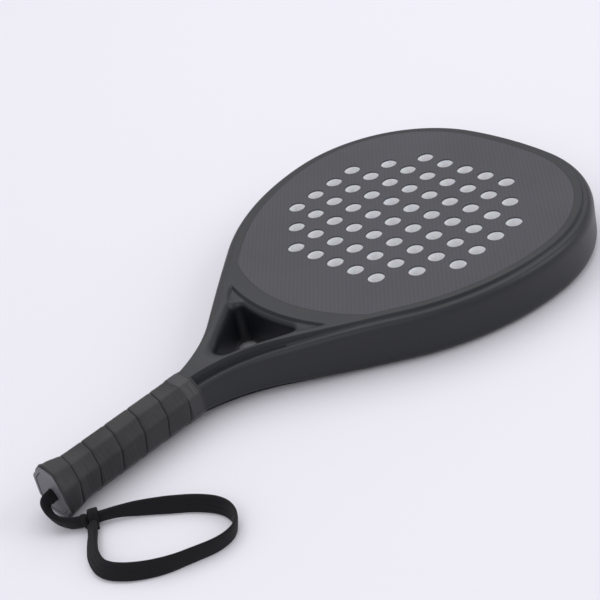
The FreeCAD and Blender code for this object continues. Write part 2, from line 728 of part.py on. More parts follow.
# Wrist cord: a flat braid. Its lead is folded round and runs from the plug to the slip knot; the
# loop stands on edge on the resting surface. Each route is straight runs joined by tangent arcs.
def tangent_path(points):
    """Wire along the points; each arc takes up most of half of the shorter run beside it."""
    share = 0.45
    vectors = [FreeCAD.Vector(*point) for point in points]
    edges = []
    radii = []
    start = vectors[0]
    for before, here, after in zip(vectors, vectors[1:], vectors[2:]):
        back = before - here
        ahead = after - here
        shorter = min(back.Length, ahead.Length)
        half_turn = (math.pi - back.getAngle(ahead)) / 2
        radius = share * shorter / math.tan(half_turn)
        radii.append(round(radius, 1))
        back.normalize()
        ahead.normalize()
        first = here + back * share * shorter
        last = here + ahead * share * shorter
        inward = back + ahead
        inward.normalize()
        middle = here + inward * (radius / math.cos(half_turn) - radius)
        edges.append(Part.LineSegment(start, first).toShape())
        edges.append(Part.Arc(first, middle, last).toShape())
        start = last
    edges.append(Part.LineSegment(start, vectors[-1]).toShape())
    return Part.Wire(edges), radii


def sweep(label, points, section, area):
    """Solid of a section carried along the path, with its volume compared with area times length."""
    path, radii = tangent_path(points)
    solid = path.makePipeShell([section], True, False)
    expected = area * path.Length
    print(f"{label}: length {path.Length:.1f}, radii {radii}, volume ratio {solid.Volume / expected:.4f}")
    if abs(solid.Volume / expected - 1) > 0.02:
        raise RuntimeError(label + " has the wrong volume")
    feature = doc.addObject("Part::Feature", label)
    feature.Shape = solid
    return feature


# Places along the cord: across the racket, beyond the butt's end (less than nought where beside
# the grip), and for the lead the height above the resting surface.
cord_level = size["cord_width"] / 2
lead_route = [
    (0.0, -size["plug_recess"], size["mid_z"]),
    (0.0, 4.3, size["mid_z"]),
    (0.3, 8.5, 16.6),
    (2.0, 11.0, 11.8),
    (7.0, 11.1, 7.5),
    (13.5, 8.5, 5.0),
    (20.1, 3.0, 5.0),
    (24.35, -3.76, 5.0),
]
loop_route = [
    (29.65, -12.24),
    (34.95, -20.7),
    (46.0, -32.0),
    (59.0, -43.5),
    (74.0, -55.5),
    (90.0, -62.5),
    (104.0, -60.0),
    (113.0, -51.0),
    (114.3, -37.5),
    (110.0, -20.5),
    (103.0, -2.5),
    (89.0, 12.5),
    (70.0, 18.5),
    (55.0, 14.5),
    (44.5, 7.0),
    (36.4, -0.4),
    (30.04, -4.37),
]
lead_points = [(x, size["butt_y"] - beyond, z) for x, beyond, z in lead_route]
loop_points = [(x, size["butt_y"] - beyond, cord_level) for x, beyond in loop_route]
knot_place = (27.0, -8.0)
knot_bearing = 58.0
knot_middle = FreeCAD.Vector(knot_place[0], size["butt_y"] - knot_place[1], 0)
along = FreeCAD.Rotation(FreeCAD.Vector(0, 0, 1), knot_bearing).multVec(FreeCAD.Vector(1, 0, 0))
sideways = FreeCAD.Vector(-along.y, along.x, 0)

lead_circle = Part.Circle(FreeCAD.Vector(*lead_points[0]), FreeCAD.Vector(0, 1, 0), size["lead_radius"])
lead_section = Part.Wire(lead_circle.toShape())
lead_area = math.pi * size["lead_radius"] ** 2
cord_lead = sweep("wrist_cord_lead", lead_points, lead_section, lead_area)

start = FreeCAD.Vector(*loop_points[0])
across = sideways * (size["cord_thickness"] / 2)
rise = FreeCAD.Vector(0, 0, cord_level)
corners = [start - across - rise, start + across - rise, start + across + rise, start - across + rise]
loop_section = Part.makePolygon(corners + corners[:1])
loop_area = size["cord_thickness"] * size["cord_width"]
cord_loop = sweep("wrist_cord_loop", loop_points, loop_section, loop_area)

# Slip knot: the loop's end tied round the cord, as a block that both parts of the cord meet.
slip_knot = doc.addObject("Part::Box", "slip_knot")
slip_knot.Placement.Rotation = FreeCAD.Rotation(FreeCAD.Vector(0, 0, 1), knot_bearing)
slip_knot.setExpression("Length", "Dims.slip_knot_length")
slip_knot.setExpression("Width", "Dims.slip_knot_width")
slip_knot.setExpression("Height", "Dims.cord_width + Dims.cord_thickness")
half_length = along * (size["slip_knot_length"] / 2)
half_width = sideways * (size["slip_knot_width"] / 2)
slip_knot.Placement.Base = knot_middle - half_length - half_width
doc.recompute()

pieces = [
    frame_tube,
    throat_bridge,
    frame_foam,
    bridge_foam,
    core,
    rear_face,
    front_face,
    cushion_grip,
    finishing_tape,
    butt_cap,
    butt_plug,
    stop_knot,
    cord_lead,
    cord_loop,
    slip_knot,
]

for item in doc.Objects:
    if "Invalid" in item.State or "Error" in item.State:
        raise RuntimeError(f"{item.Name} failed: {item.State}")
os.makedirs("parts", exist_ok=True)
for piece in pieces:
    shape = piece.Shape
    if shape.isNull() or not shape.isValid():
        raise RuntimeError(piece.Label + " has no valid shape")
    shape.exportStep(f"parts/{piece.Label}.step")
    print(f"{piece.Label}: {len(shape.Solids)} solid, {shape.Volume / 1000:.2f} cm3")
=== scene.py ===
import json
import math

import bmesh
import bpy
import numpy as np
from mathutils import Matrix, Vector

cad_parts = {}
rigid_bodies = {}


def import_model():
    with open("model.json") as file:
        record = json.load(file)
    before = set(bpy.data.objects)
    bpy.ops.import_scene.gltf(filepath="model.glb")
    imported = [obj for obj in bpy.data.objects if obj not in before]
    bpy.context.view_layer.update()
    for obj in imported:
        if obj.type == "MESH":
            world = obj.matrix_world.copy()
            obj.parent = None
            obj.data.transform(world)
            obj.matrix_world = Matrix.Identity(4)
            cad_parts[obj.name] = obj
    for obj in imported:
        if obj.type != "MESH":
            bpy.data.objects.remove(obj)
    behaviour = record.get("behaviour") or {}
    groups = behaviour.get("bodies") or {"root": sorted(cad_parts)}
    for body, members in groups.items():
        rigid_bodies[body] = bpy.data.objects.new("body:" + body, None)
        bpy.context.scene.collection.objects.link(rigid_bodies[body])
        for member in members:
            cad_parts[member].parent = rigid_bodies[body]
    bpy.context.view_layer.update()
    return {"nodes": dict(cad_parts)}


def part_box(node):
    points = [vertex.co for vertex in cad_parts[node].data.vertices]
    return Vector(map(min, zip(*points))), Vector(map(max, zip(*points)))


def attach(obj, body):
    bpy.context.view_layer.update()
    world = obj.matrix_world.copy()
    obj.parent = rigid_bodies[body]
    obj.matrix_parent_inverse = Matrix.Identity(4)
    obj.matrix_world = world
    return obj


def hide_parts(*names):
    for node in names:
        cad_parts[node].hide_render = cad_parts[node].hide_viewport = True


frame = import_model()
scene = bpy.context.scene
MM = 0.001

# ---- View ----------------------------------------------------------------------------
# Standing to the right of the butt and looking up the racket, with the picture turned
# a little so that the handle runs down to the lower left.
eye = Vector((0.76004, -0.57704, 0.64211))
looked_at = Vector((-0.03558, 0.02228, 0.0))
picture_turn = math.radians(-13.535)

sight = (looked_at - eye).normalized()
level = sight.cross(Vector((0, 0, 1))).normalized()
rise = level.cross(sight)
across = level * math.cos(picture_turn) + rise * math.sin(picture_turn)
upward = across.cross(sight)
camera = bpy.data.objects.new("camera", bpy.data.cameras.new("camera"))
camera.data.lens = 99.04
camera.data.sensor_width = 36.0
camera.data.clip_start = 0.05
facing = Matrix((across, upward, -sight)).transposed().to_4x4()
camera.matrix_world = Matrix.Translation(eye) @ facing
scene.collection.objects.link(camera)
scene.camera = camera
scene.view_settings.view_transform = "Standard"

# ---- Wrist cord ----------------------------------------------------------------------
# One flat braided polyester cord, 11 mm wide and 2.6 mm thick. It leaves the butt folded
# to a thick strand, passes the slip knot, and goes round the wrist loop back to the knot.
# The braid's colours: the first is painted shade in the grooves between the yarns, the second lies
# on the yarns' crowns
CORD_GROOVE_SHADE = "#0D0D0F"
CORD_YARN = "#19191C"
# Spacing of the braid's yarns across it and along it, in millimetres
YARN_ACROSS, YARN_ALONG = 1.375, 1.1
# Which way is up for the folded part that stands out of the butt
FIRST_UP = np.array((0.35, 0.2, 1.0))

# (x, y, z) of the line along its middle, from the butt's hole to the end under the knot
CORD_ROUTE = (
    (2.4, -227.1, 19.4), (2.8, -230.6, 20.0), (2.8, -234.4, 18.0), (3.8, -235.8, 12.8),
    (9.4, -235.2, 8.1), (15.8, -232.2, 5.9), (21.3, -227.7, 5.5), (24.9, -222.1, 5.6),
    (29.65, -215.26, 5.8), (34.95, -206.8, 5.8), (46, -195.5, 5.8), (59, -184, 5.8),
    (74, -172, 5.8), (90, -165, 5.8), (104, -167.5, 5.8), (113, -176.5, 5.8),
    (113.5, -190, 5.8), (107, -205, 5.8), (99.5, -221.5, 5.8), (86.5, -236.5, 5.6), (70, -246, 5.4),
    (55, -242, 5.4), (44.5, -234.5, 5.2), (36.4, -227.1, 5.0), (30.04, -223.13, 5.0),
)
# Share of the way along, the section's width and thickness, and its lean from upright in
# degrees, towards the inside of the loop
CORD_SECTION = np.array((
    (0.00, 8.4, 4.4, 62), (0.05, 9.6, 4.6, 40), (0.10, 9.8, 4.6, 15), (0.14, 8.8, 4.4, 8),
    (0.18, 7.8, 4.0, 0), (0.21, 8.8, 3.2, -4), (0.25, 10.6, 2.7, -12), (0.32, 11.6, 2.6, -28),
    (0.42, 11.6, 2.6, -28), (0.52, 11.2, 2.6, -12), (0.60, 11.0, 2.6, 0), (0.67, 11.0, 2.6, 6),
    (0.76, 11.4, 2.6, 30), (0.83, 11.4, 2.6, 40),
    (0.90, 10.0, 2.9, 50), (0.95, 8.0, 3.6, 56), (1.00, 7.6, 4.0, 50),
))


def linear_colour(code):
    """An sRGB hex colour as linear red, green, blue and an alpha of one."""
    parts = np.array([int(code[k:k + 2], 16) for k in (1, 3, 5)]) / 255
    straight = np.where(parts <= 0.04045, parts / 12.92, ((parts + 0.055) / 1.055) ** 2.4)
    return (*straight.tolist(), 1.0)


def add_node(tree, kind, settings=None, links=None):
    """Add one node. Settings are its own properties or its inputs' values, by name or by
    number, and links say which output feeds which input."""
    node = tree.nodes.new(kind)
    for key, value in (settings or {}).items():
        if isinstance(key, str) and hasattr(node, key):
            setattr(node, key, value)
        else:
            node.inputs[key].default_value = value
    for key, output in (links or {}).items():
        tree.links.new(output, node.inputs[key])
    return node


def new_material(name, settings):
    """A material with one Principled shader: its node tree and that shader."""
    material = bpy.data.materials.new(name)
    material.use_nodes = True
    shader = material.node_tree.nodes["Principled BSDF"]
    for key, value in settings.items():
        shader.inputs[key].default_value = value
    return material, material.node_tree, shader


def unit(v):
    """Vectors divided by their lengths."""
    return v / np.linalg.norm(v, axis=-1, keepdims=True)


def skin(points, ring=False, loop=False, ends=False):
    """A grid of points in millimetres, rows by columns, with how it closes: a ring joins
    the last column to the first, a loop the last row to the first, and ends are filled in."""
    return np.asarray(points, float), ring, loop, ends


def grid_quads(points, ring, loop, first):
    """Corner numbers of the quads between neighbours on a grid, and their places on a flat
    map in millimetres: the mean distances run round the columns and along the rows."""
    rows, columns = points.shape[:2]
    r = np.arange(rows if loop else rows - 1)[:, None]
    c = np.arange(columns if ring else columns - 1)[None, :]
    r2, c2 = (r + 1) % rows, (c + 1) % columns
    quads = (r * columns + c, r * columns + c2, r2 * columns + c2, r2 * columns + c)
    round_mm = np.linalg.norm(points - np.roll(points, -1, 1), axis=-1).mean(0)
    along_mm = np.linalg.norm(points - np.roll(points, -1, 0), axis=-1).mean(1)
    u, v = np.r_[0, np.cumsum(round_mm)], np.r_[0, np.cumsum(along_mm)]
    flat = [np.broadcast_arrays(u[c + i], v[r + j]) for i, j in ((0, 0), (1, 0), (1, 1), (0, 1))]
    return (first + np.stack(np.broadcast_arrays(*quads), -1).reshape(-1, 4),
            np.stack([np.stack(uv, -1) for uv in flat], 2).reshape(-1, 4, 2))


def new_piece(name, skins, material, crease=None, weld=False):
    """A mesh piece at the origin, made of skins, with its faces turned outwards and a flat
    map in millimetres. Edges sharper than crease, in degrees, shade as edges. Welding joins
    skins that meet, and fills what is still open."""
    corners, flat, ends, first = [], [], [], 0
    for points, ring, loop, closed in skins:
        quads, uv = grid_quads(points, ring, loop, first)
        corners.append(quads)
        flat.append(uv)
        rows, columns = points.shape[:2]
        last = first + (rows - 1) * columns
        if closed:
            ends += [list(range(first, first + columns)), list(range(last, last + columns))]
        first += rows * columns
    mesh = bpy.data.meshes.new(name)
    places = np.concatenate([points.reshape(-1, 3) for points, *_ in skins]) * MM
    mesh.from_pydata(places.tolist(), [], np.concatenate(corners).tolist() + ends)
    uv = np.concatenate(flat).reshape(-1, 2)
    uv = np.concatenate((uv, np.zeros((len(mesh.loops) - len(uv), 2))))
    mesh.uv_layers.new(name="flat").uv.foreach_set("vector", uv.astype(np.float32).ravel())
    work = bmesh.new()
    work.from_mesh(mesh)
    if weld:
        bmesh.ops.remove_doubles(work, verts=work.verts, dist=0.005 * MM)
        bmesh.ops.dissolve_degenerate(work, edges=work.edges, dist=0.003 * MM)
        bmesh.ops.holes_fill(work, edges=[e for e in work.edges if e.is_boundary], sides=0)
    bmesh.ops.recalc_face_normals(work, faces=work.faces)
    work.to_mesh(mesh)
    work.free()
    mesh.polygons.foreach_set("use_smooth", np.ones(len(mesh.polygons), bool))
    if crease:
        mesh.set_sharp_from_angle(angle=math.radians(crease))
    mesh.materials.append(material)
    piece = bpy.data.objects.new(name, mesh)
    scene.collection.objects.link(piece)
    return piece


def spline_points(route, step):
    """Points every step millimetres along the smooth spline whose control points are the
    route, with its direction at each."""
    curve = bpy.data.curves.new("route", "CURVE")
    curve.dimensions = "3D"
    curve.resolution_u = 24
    line = curve.splines.new("NURBS")
    line.points.add(len(route) - 1)
    line.points.foreach_set("co", np.c_[np.array(route, float) * MM, np.ones(len(route))].ravel())
    line.order_u = 3
    line.use_endpoint_u = True
    holder = bpy.data.objects.new("route", curve)
    mesh = bpy.data.meshes.new_from_object(holder)
    raw = np.empty(len(mesh.vertices) * 3)
    mesh.vertices.foreach_get("co", raw)
    raw = raw.reshape(-1, 3) / MM
    for data in (holder, mesh, curve):
        bpy.data.batch_remove([data])
    along = np.r_[0, np.cumsum(np.linalg.norm(np.diff(raw, axis=0), axis=1))]
    at = np.linspace(0, along[-1], int(along[-1] / step) + 1)
    points = np.stack([np.interp(at, along, raw[:, k]) for k in range(3)], 1)
    return points, unit(np.gradient(points, axis=0))


def smooth_step(t):
    """Nought below 0, one above 1, and an S-shaped rise between."""
    t = np.clip(t, 0, 1)
    return t * t * (3 - 2 * t)


def braid_material(name, across_mm, along_mm):
    """Matt polyester flat braid: fine yarns crossing in chevrons, on the piece's UV map,
    whose U is millimetres round the section and V is millimetres along it."""
    material, tree, shader = new_material(name, {"Roughness": 0.82, "IOR": 1.5,
                                                 "Specular IOR Level": 0.2,
                                                 "Sheen Weight": 0.05, "Sheen Roughness": 0.5})
    place = add_node(tree, "ShaderNodeUVMap", {"uv_map": "flat"})
    split = add_node(tree, "ShaderNodeSeparateXYZ", links={0: place.outputs[0]})
    chevron = add_node(tree, "ShaderNodeMath", {"operation": "PINGPONG", 1: across_mm},
                       {0: split.outputs[0]})
    lag = add_node(tree, "ShaderNodeMath", {"operation": "ADD"},
                   {0: split.outputs[1], 1: chevron.outputs[0]})
    yarn = add_node(tree, "ShaderNodeMath", {"operation": "MULTIPLY", 1: math.tau / along_mm},
                    {0: lag.outputs[0]})
    wave = add_node(tree, "ShaderNodeMath", {"operation": "SINE"}, {0: yarn.outputs[0]})
    column = add_node(tree, "ShaderNodeMath", {"operation": "MULTIPLY", 1: math.tau / across_mm},
                      {0: split.outputs[0]})
    rib = add_node(tree, "ShaderNodeMath", {"operation": "COSINE"}, {0: column.outputs[0]})
    height = add_node(tree, "ShaderNodeMath", {"operation": "ADD"},
                      {0: wave.outputs[0], 1: rib.outputs[0]})
    place_3d = add_node(tree, "ShaderNodeTexCoord")
    fuzz = add_node(tree, "ShaderNodeTexNoise", {"Scale": 0.9 / MM, "Detail": 4.0},
                    {0: place_3d.outputs["Object"]})
    rough = add_node(tree, "ShaderNodeMath", {"operation": "MULTIPLY_ADD", 1: 2.2},
                     {0: fuzz.outputs[0], 2: height.outputs[0]})
    # Painted shade: the tone follows the yarns' relief, darkest in the grooves between them, and
    # varies with a random fuzz
    tone = add_node(tree, "ShaderNodeValToRGB", links={0: add_node(
        tree, "ShaderNodeMapRange", {"From Min": -1.0, "From Max": 3.6},
        {0: rough.outputs[0]}).outputs[0]})
    tone.color_ramp.elements[0].color = linear_colour(CORD_GROOVE_SHADE)
    tone.color_ramp.elements[1].color = linear_colour(CORD_YARN)
    bump = add_node(tree, "ShaderNodeBump", {"Strength": 0.5, "Distance": 0.25 * MM},
                    {"Height": rough.outputs[0]})
    tree.links.new(tone.outputs[0], shader.inputs["Base Color"])
    tree.links.new(bump.outputs[0], shader.inputs["Normal"])
    return material


def ribbon(points, forward, sideways, width, thickness, around=28, squareness=0.7):
    """A flat cord's skin: at each point of the line, a flattened ring in the plane across
    it. Half the width times a cosine runs along sideways, half the thickness times a sine
    along the ribbon's face, both raised to a power under one to square the ring."""
    face = unit(np.cross(forward, sideways))
    turn = np.arange(around) / around * math.tau
    wide = np.sign(np.cos(turn)) * np.abs(np.cos(turn)) ** squareness
    thick = np.sign(np.sin(turn)) * np.abs(np.sin(turn)) ** squareness
    return (points[:, None] + sideways[:, None] * (width / 2)[:, None, None] * wide[None, :, None]
            + face[:, None] * (thickness / 2)[:, None, None] * thick[None, :, None])


braid = braid_material("black_polyester_flat_braid", YARN_ACROSS, YARN_ALONG)
cord_line, cord_forward = spline_points(CORD_ROUTE, 0.7)
share = np.linspace(0, 1, len(cord_line))
cord_width, cord_thick, cord_lean = (
    np.interp(share, CORD_SECTION[:, 0], CORD_SECTION[:, k]) for k in (1, 2, 3))
upright = np.array((0.0, 0.0, 1.0)) - cord_forward * cord_forward[:, 2:3]
first_upright = FIRST_UP - cord_forward * (cord_forward @ FIRST_UP)[:, None]
upright = unit(np.where(share[:, None] < 0.1, first_upright, upright))
inward = unit(np.cross(cord_forward, upright))
lean = np.radians(cord_lean)[:, None]
cord_side = upright * np.cos(lean) + inward * np.sin(lean)
cord = new_piece("wrist_cord", [skin(ribbon(
    cord_line, cord_forward, cord_side, cord_width, cord_thick), ring=True, ends=True)], braid)
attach(cord, "root")
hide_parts("wrist_cord_lead", "wrist_cord_loop")

# ---- Slip knot -----------------------------------------------------------------------
# The cord's own end, wound once round both strands and tucked through itself, so that it
# slides to tighten the loop. A broad turn, a narrow turn beside it and a short tail.
KNOT_PLACE = np.array((26.4, -220.4, 6.9))
KNOT_BEARING = math.radians(58)
KNOT_ROUND = 56
TAIL_ROWS, TAIL_WIDE, TAIL_TIP, TAIL_THICK = 9, 7.0, 5.4, 1.9
KNOT_TURNS = (
    # along the cord, half height, half depth, band width, band thickness, lean in degrees
    (1.2, 5.3, 3.6, 6.4, 1.8, 9),
    (-3.9, 4.1, 3.2, 3.4, 1.7, -12),
)
knot_along = np.array((math.cos(KNOT_BEARING), math.sin(KNOT_BEARING), 0.0))
knot_out = np.array((math.sin(KNOT_BEARING), -math.cos(KNOT_BEARING), 0.0))
knot_up = np.array((0.0, 0.0, 1.0))
turn = np.linspace(0, math.tau, KNOT_ROUND, endpoint=False)
squared = [np.sign(w) * np.abs(w) ** 0.75 for w in (np.sin(turn), np.cos(turn))]
knot_skins = []
for along, high, deep, band, thick, tilt in KNOT_TURNS:
    slope = math.tan(math.radians(tilt))
    line = (KNOT_PLACE + knot_along * along
            + np.outer(squared[0] * high, knot_up + knot_along * slope)
            + np.outer(squared[1] * deep, knot_out))
    line[:, 2] += high + thick / 2 + 0.2 - KNOT_PLACE[2]
    ahead = unit(np.roll(line, -1, 0) - np.roll(line, 1, 0))
    side = unit(knot_along - ahead * (ahead @ knot_along)[:, None])
    band_now = band * (1 - 0.14 * np.cos(turn - 0.6))
    knot_skins.append(skin(ribbon(line, ahead, side, band_now, np.full(KNOT_ROUND, thick), 20, 0.6),
                           ring=True, loop=True))
tail_share = np.linspace(0, 1, TAIL_ROWS)
tail_line = (KNOT_PLACE + (1.5, -1.5, -2.9)
             + np.outer(tail_share, knot_out * 5.5 + knot_along * 2.0)
             + np.outer(tail_share ** 2, (0.0, 0.0, -2.2)))
tail_ahead = unit(np.gradient(tail_line, axis=0))
tail_side = knot_along + knot_up * 0.5
tail_side = unit(tail_side - tail_ahead * (tail_ahead @ tail_side)[:, None])
knot_skins.append(skin(ribbon(
    tail_line, tail_ahead, tail_side, np.linspace(TAIL_WIDE, TAIL_TIP, TAIL_ROWS),
    np.full(TAIL_ROWS, TAIL_THICK), 20, 0.6), ring=True, ends=True))
knot = new_piece("slip_knot_turns", knot_skins, braid)
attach(knot, "root")
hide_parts("slip_knot")

# ---- Stop knot -----------------------------------------------------------------------
# An overhand knot in the cord's inner end, drawn up tight behind the butt's plate, where
# it can't pull through the hole.
STOP_RADIUS, KNOT_LOBE, STOP_ROUND = 7.0, 2.05, 120
knot_low, knot_high = (np.array(corner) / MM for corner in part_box("stop_knot"))
t = np.linspace(0, math.tau, STOP_ROUND, endpoint=False)
trefoil = np.stack((np.sin(t) + 2 * np.sin(2 * t), -np.sin(3 * t) * 1.1,
                    np.cos(t) - 2 * np.cos(2 * t)), 1)
trefoil_line = (knot_low + knot_high) / 2 + trefoil / 3.0 * (STOP_RADIUS - KNOT_LOBE)
trefoil_ahead = unit(np.roll(trefoil_line, -1, 0) - np.roll(trefoil_line, 1, 0))
trefoil_side = np.array((0.0, 1.0, 0.0)) - trefoil_ahead * trefoil_ahead[:, 1:2]
inner_knot = new_piece("stop_knot_turns", [skin(ribbon(
    trefoil_line, trefoil_ahead, unit(trefoil_side), np.full(STOP_ROUND, 2 * KNOT_LOBE),
    np.full(STOP_ROUND, 1.7 * KNOT_LOBE), 20, 0.9), ring=True, loop=True)], braid)
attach(inner_knot, "root")
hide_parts("stop_knot")

# ---- Moulded frame -------------------------------------------------------------------
# One carbon fibre tube bent round the head and down both arms to the handle, with a bridge
# across the throat, moulded under pressure and sprayed satin black. Its outer corner steps
# down from the flat band beside the face to a narrow shoulder, and rounds into the wall.
TIP_Y, MID_Z = 227.5, 19.0
HALF_WIDTH = 128.5
CROWN, SHOULDER, SIDE, NECK = 290.0, 104.5, 184.0, 112.0
ARM_LEAN = math.radians(38)
SHANK_HALF = 12.6
GRIP_TOP, DROP_START, DROP = -110.0, -26.0, 3.5
DROP_RADIUS = ((DROP_START - GRIP_TOP) ** 2 + DROP ** 2) / (2 * DROP)
FRAME_END = -123.0
HEEL_Y, FACE_HEEL, BRIDGE = 104.3, 124.8, 141.3
FACE_EDGE = 13.0
# Inset of the line where the rim's skin meets the flat band and the throat's surround
STRIP_EDGE = 9.0
STEP_INNER, STEP_OUTER = 8.3, 6.6
RECESS, RECESS_HEEL, RECESS_ARM = 2.0, 136.4, 11.4
SATIN_BLACK = "#191B20"


def arc(centre, radius, start, stop, count, inward=-1.0):
    """Points on a circle between two bearings clockwise from the tip, with the direction
    into the frame at each: towards the centre, or away from it where inward is one."""
    bearing = np.linspace(start, stop, count)
    out = np.stack((np.sin(bearing), np.cos(bearing)), 1)
    return np.array(centre) + radius * out, inward * out


crown_bearing = math.asin((HALF_WIDTH - SHOULDER) / (CROWN - SHOULDER))
wide_y = TIP_Y - CROWN + (CROWN - SHOULDER) * math.cos(crown_bearing)
side_bearing = math.pi / 2 + ARM_LEAN
arm_start = arc((HALF_WIDTH - SIDE, wide_y), SIDE, side_bearing, side_bearing, 1)[0][0]
arm_down = np.array((math.cos(side_bearing), -math.sin(side_bearing)))
arm_in = np.array((-math.sin(side_bearing), -math.cos(side_bearing)))
neck_x = SHANK_HALF + NECK
neck_y = arm_start[1] + ((NECK - (neck_x - arm_start[0]) * math.sin(side_bearing))
                         / math.cos(side_bearing))
arm_end = np.array((neck_x, neck_y)) + NECK * arm_in
face_start = arm_start + FACE_EDGE * arm_in - (0, HEEL_Y)
along_arm = -face_start @ arm_down + math.sqrt(
    (face_start @ arm_down) ** 2 - face_start @ face_start + FACE_HEEL ** 2)
corner = arm_start + along_arm * arm_down


def straight(start, stop, count, inward):
    """Points on a straight run with one direction into the frame."""
    return np.linspace(start, stop, count), np.broadcast_to(inward, (count, 2)).copy()


def chain(*runs):
    """Runs of points and directions joined end to end, with each shared point kept once."""
    return tuple(np.concatenate([r[k][:-1] for r in runs[:-1]] + [runs[-1][k]]) for k in (0, 1))


head_run = chain(
    arc((0, TIP_Y - CROWN), CROWN, 0, crown_bearing, 26),
    arc((HALF_WIDTH - SHOULDER, wide_y), SHOULDER, crown_bearing, math.pi / 2, 100),
    arc((HALF_WIDTH - SIDE, wide_y), SIDE, math.pi / 2, side_bearing, 80),
    straight(arm_start, corner, 17, arm_in))
neck_stop = math.tau - math.acos((FRAME_END - neck_y) / NECK)
arm_run = chain(
    straight(corner, arm_end, 42, arm_in),
    arc((neck_x, neck_y), NECK, side_bearing + math.pi, neck_stop, 48, 1.0))


def half_depth(y):
    """Half the tube's depth: half the racket's thickness on the head, and less along the
    arms, where the top and bottom fall on one long arc to the grip."""
    fall = np.clip(DROP_START - y, 0, DROP_START - GRIP_TOP)
    return MID_Z - (DROP_RADIUS - np.sqrt(DROP_RADIUS ** 2 - fall ** 2))


def throat_outline():
    """Right half of the throat's edge, from the middle of the bridge to the foot: the
    bridge's arc, a corner arc, the arm's straight side and the foot's arc."""
    corner_radius, foot_radius, foot_y, half_angle = 5.0, 8.0, -72.766, math.radians(32.246)
    run = np.array((math.sin(half_angle), math.cos(half_angle)))
    out = np.array((math.cos(half_angle), -math.sin(half_angle)))
    apex = np.array((0, foot_y - foot_radius / math.sin(half_angle)))
    rel = apex - out * corner_radius - (0, HEEL_Y)
    reach = BRIDGE + corner_radius
    far = -rel @ run - math.sqrt((rel @ run) ** 2 - rel @ rel + reach ** 2)
    centre = rel + (0, HEEL_Y) + far * run
    swing = math.atan2(centre[0], HEEL_Y - centre[1])
    heel = np.linspace(0, swing, 60)
    bridge = np.stack((BRIDGE * np.sin(heel), HEEL_Y - BRIDGE * np.cos(heel)), 1)
    bend = np.linspace(-swing, math.pi / 2 + half_angle, 40)
    bend_arc = centre + corner_radius * np.stack((np.sin(bend), np.cos(bend)), 1)
    side = np.linspace(bend_arc[-1], (0, foot_y) + foot_radius * out, 60)
    foot = np.linspace(math.pi / 2 + half_angle, math.pi, 30)
    foot_arc = (0, foot_y) + foot_radius * np.stack((np.sin(foot), np.cos(foot)), 1)
    return np.concatenate((bridge[:-1], bend_arc[:-1], side[:-1], foot_arc))


throat_half = throat_outline()
throat_loop = np.concatenate((throat_half, throat_half[-2:0:-1] * (-1, 1)))


def throat_fall(points):
    """How far the top falls beside the throat: a shallow recess that runs inside the
    heel's crescent and the arms' bands, then a quarter of an ellipse at the edge, whose
    size grows from the bridge to the arms and the foot's saddle."""
    flat = points.reshape(-1, 2)
    ends = np.roll(throat_loop, -1, 0)
    gap = np.full(len(flat), 1e9)
    for a, b in zip(throat_loop, ends):
        run = b - a
        t = np.clip(((flat - a) @ run) / (run @ run), 0, 1)
        gap = np.minimum(gap, np.hypot(*(flat - a - t[:, None] * run).T))
    from_heel = np.hypot(flat[:, 0], flat[:, 1] - HEEL_Y)
    from_arm = np.stack((np.abs(flat[:, 0]), flat[:, 1]), 1) @ arm_in - arm_start @ arm_in
    recess = (RECESS * smooth_step((from_heel - RECESS_HEEL) / 2.0)
              * smooth_step((from_arm - RECESS_ARM) / 4.0)
              * (1 - smooth_step((from_heel - 142) / 10)))
    on_arm = smooth_step((from_heel - 142) / 8)
    at_foot = smooth_step((-70 - flat[:, 1]) / 12)
    wide = 4.2 + 2.2 * on_arm + 3.0 * at_foot
    deep = 4.4 + 4.1 * on_arm
    inside = np.clip((wide - gap) / wide, 0, 1)
    return (recess + deep * (1 - np.sqrt(1 - inside ** 2))).reshape(points.shape[:-1])


# Across the band's edge: the shares of the way from the band to the step's foot that each
# line stands at, and then the shares of the rounding's quarter turn
STEP_LINES, ROUND_LINES = 13, 17
step_share = np.r_[0, 0, np.linspace(0, 1, STEP_LINES), np.ones(ROUND_LINES)]
turn_share = np.r_[np.zeros(STEP_LINES + 2), np.linspace(0, 1, ROUND_LINES)]


def rim_strip(run):
    """The tube's outer skin along a run of the outline: across it, the flat band, the step
    down to the shoulder, the rounding and the wall, and the same again upside down."""
    line, into = run
    y = line[:, 1]
    late = smooth_step((-5 - y) / 80)[:, None]
    step, inner, outer = 2.3 + 3.4 * late, STEP_INNER + 0.4 * late, STEP_OUTER + 0.9 * late
    rounding, fall = 4.6 - 1.0 * late, 7.5 - 2.0 * late
    inset = inner - (inner - outer) * step_share
    inset[:, :1] = STRIP_EDGE
    inset[:, 1:2] = (STRIP_EDGE + inner) / 2
    inset[:, STEP_LINES + 2:] = rounding * (1 - np.sin(turn_share[STEP_LINES + 2:] * math.pi / 2))
    drop = step * smooth_step(step_share) + fall * (1 - np.cos(turn_share * math.pi / 2))
    plan = line[:, None] + into[:, None] * inset[..., None]
    top = half_depth(plan[..., 1]) - drop - throat_fall(plan)
    wall = np.linspace(1, 0, 9)[1:]
    wall_top = top[:, -1:] * wall[None]
    plan = np.concatenate((plan, np.repeat(line[:, None], len(wall), 1)), 1)
    top = np.concatenate((top, wall_top), 1)
    upper = np.concatenate((plan, (MID_Z + top)[..., None]), -1)
    lower = np.concatenate((plan, (MID_Z - top)[..., None]), -1)[:, -2::-1]
    return np.concatenate((upper, lower), 1)


def both_halves(half):
    """A half from the middle outwards, with its mirror image joined on at the middle."""
    mirror = half[:0:-1].copy()
    mirror[..., 0] *= -1
    return np.concatenate((mirror, half))


whole_run = tuple(np.concatenate((a[:-1], b)) for a, b in zip(head_run, arm_run))
strip = both_halves(rim_strip(whole_run))

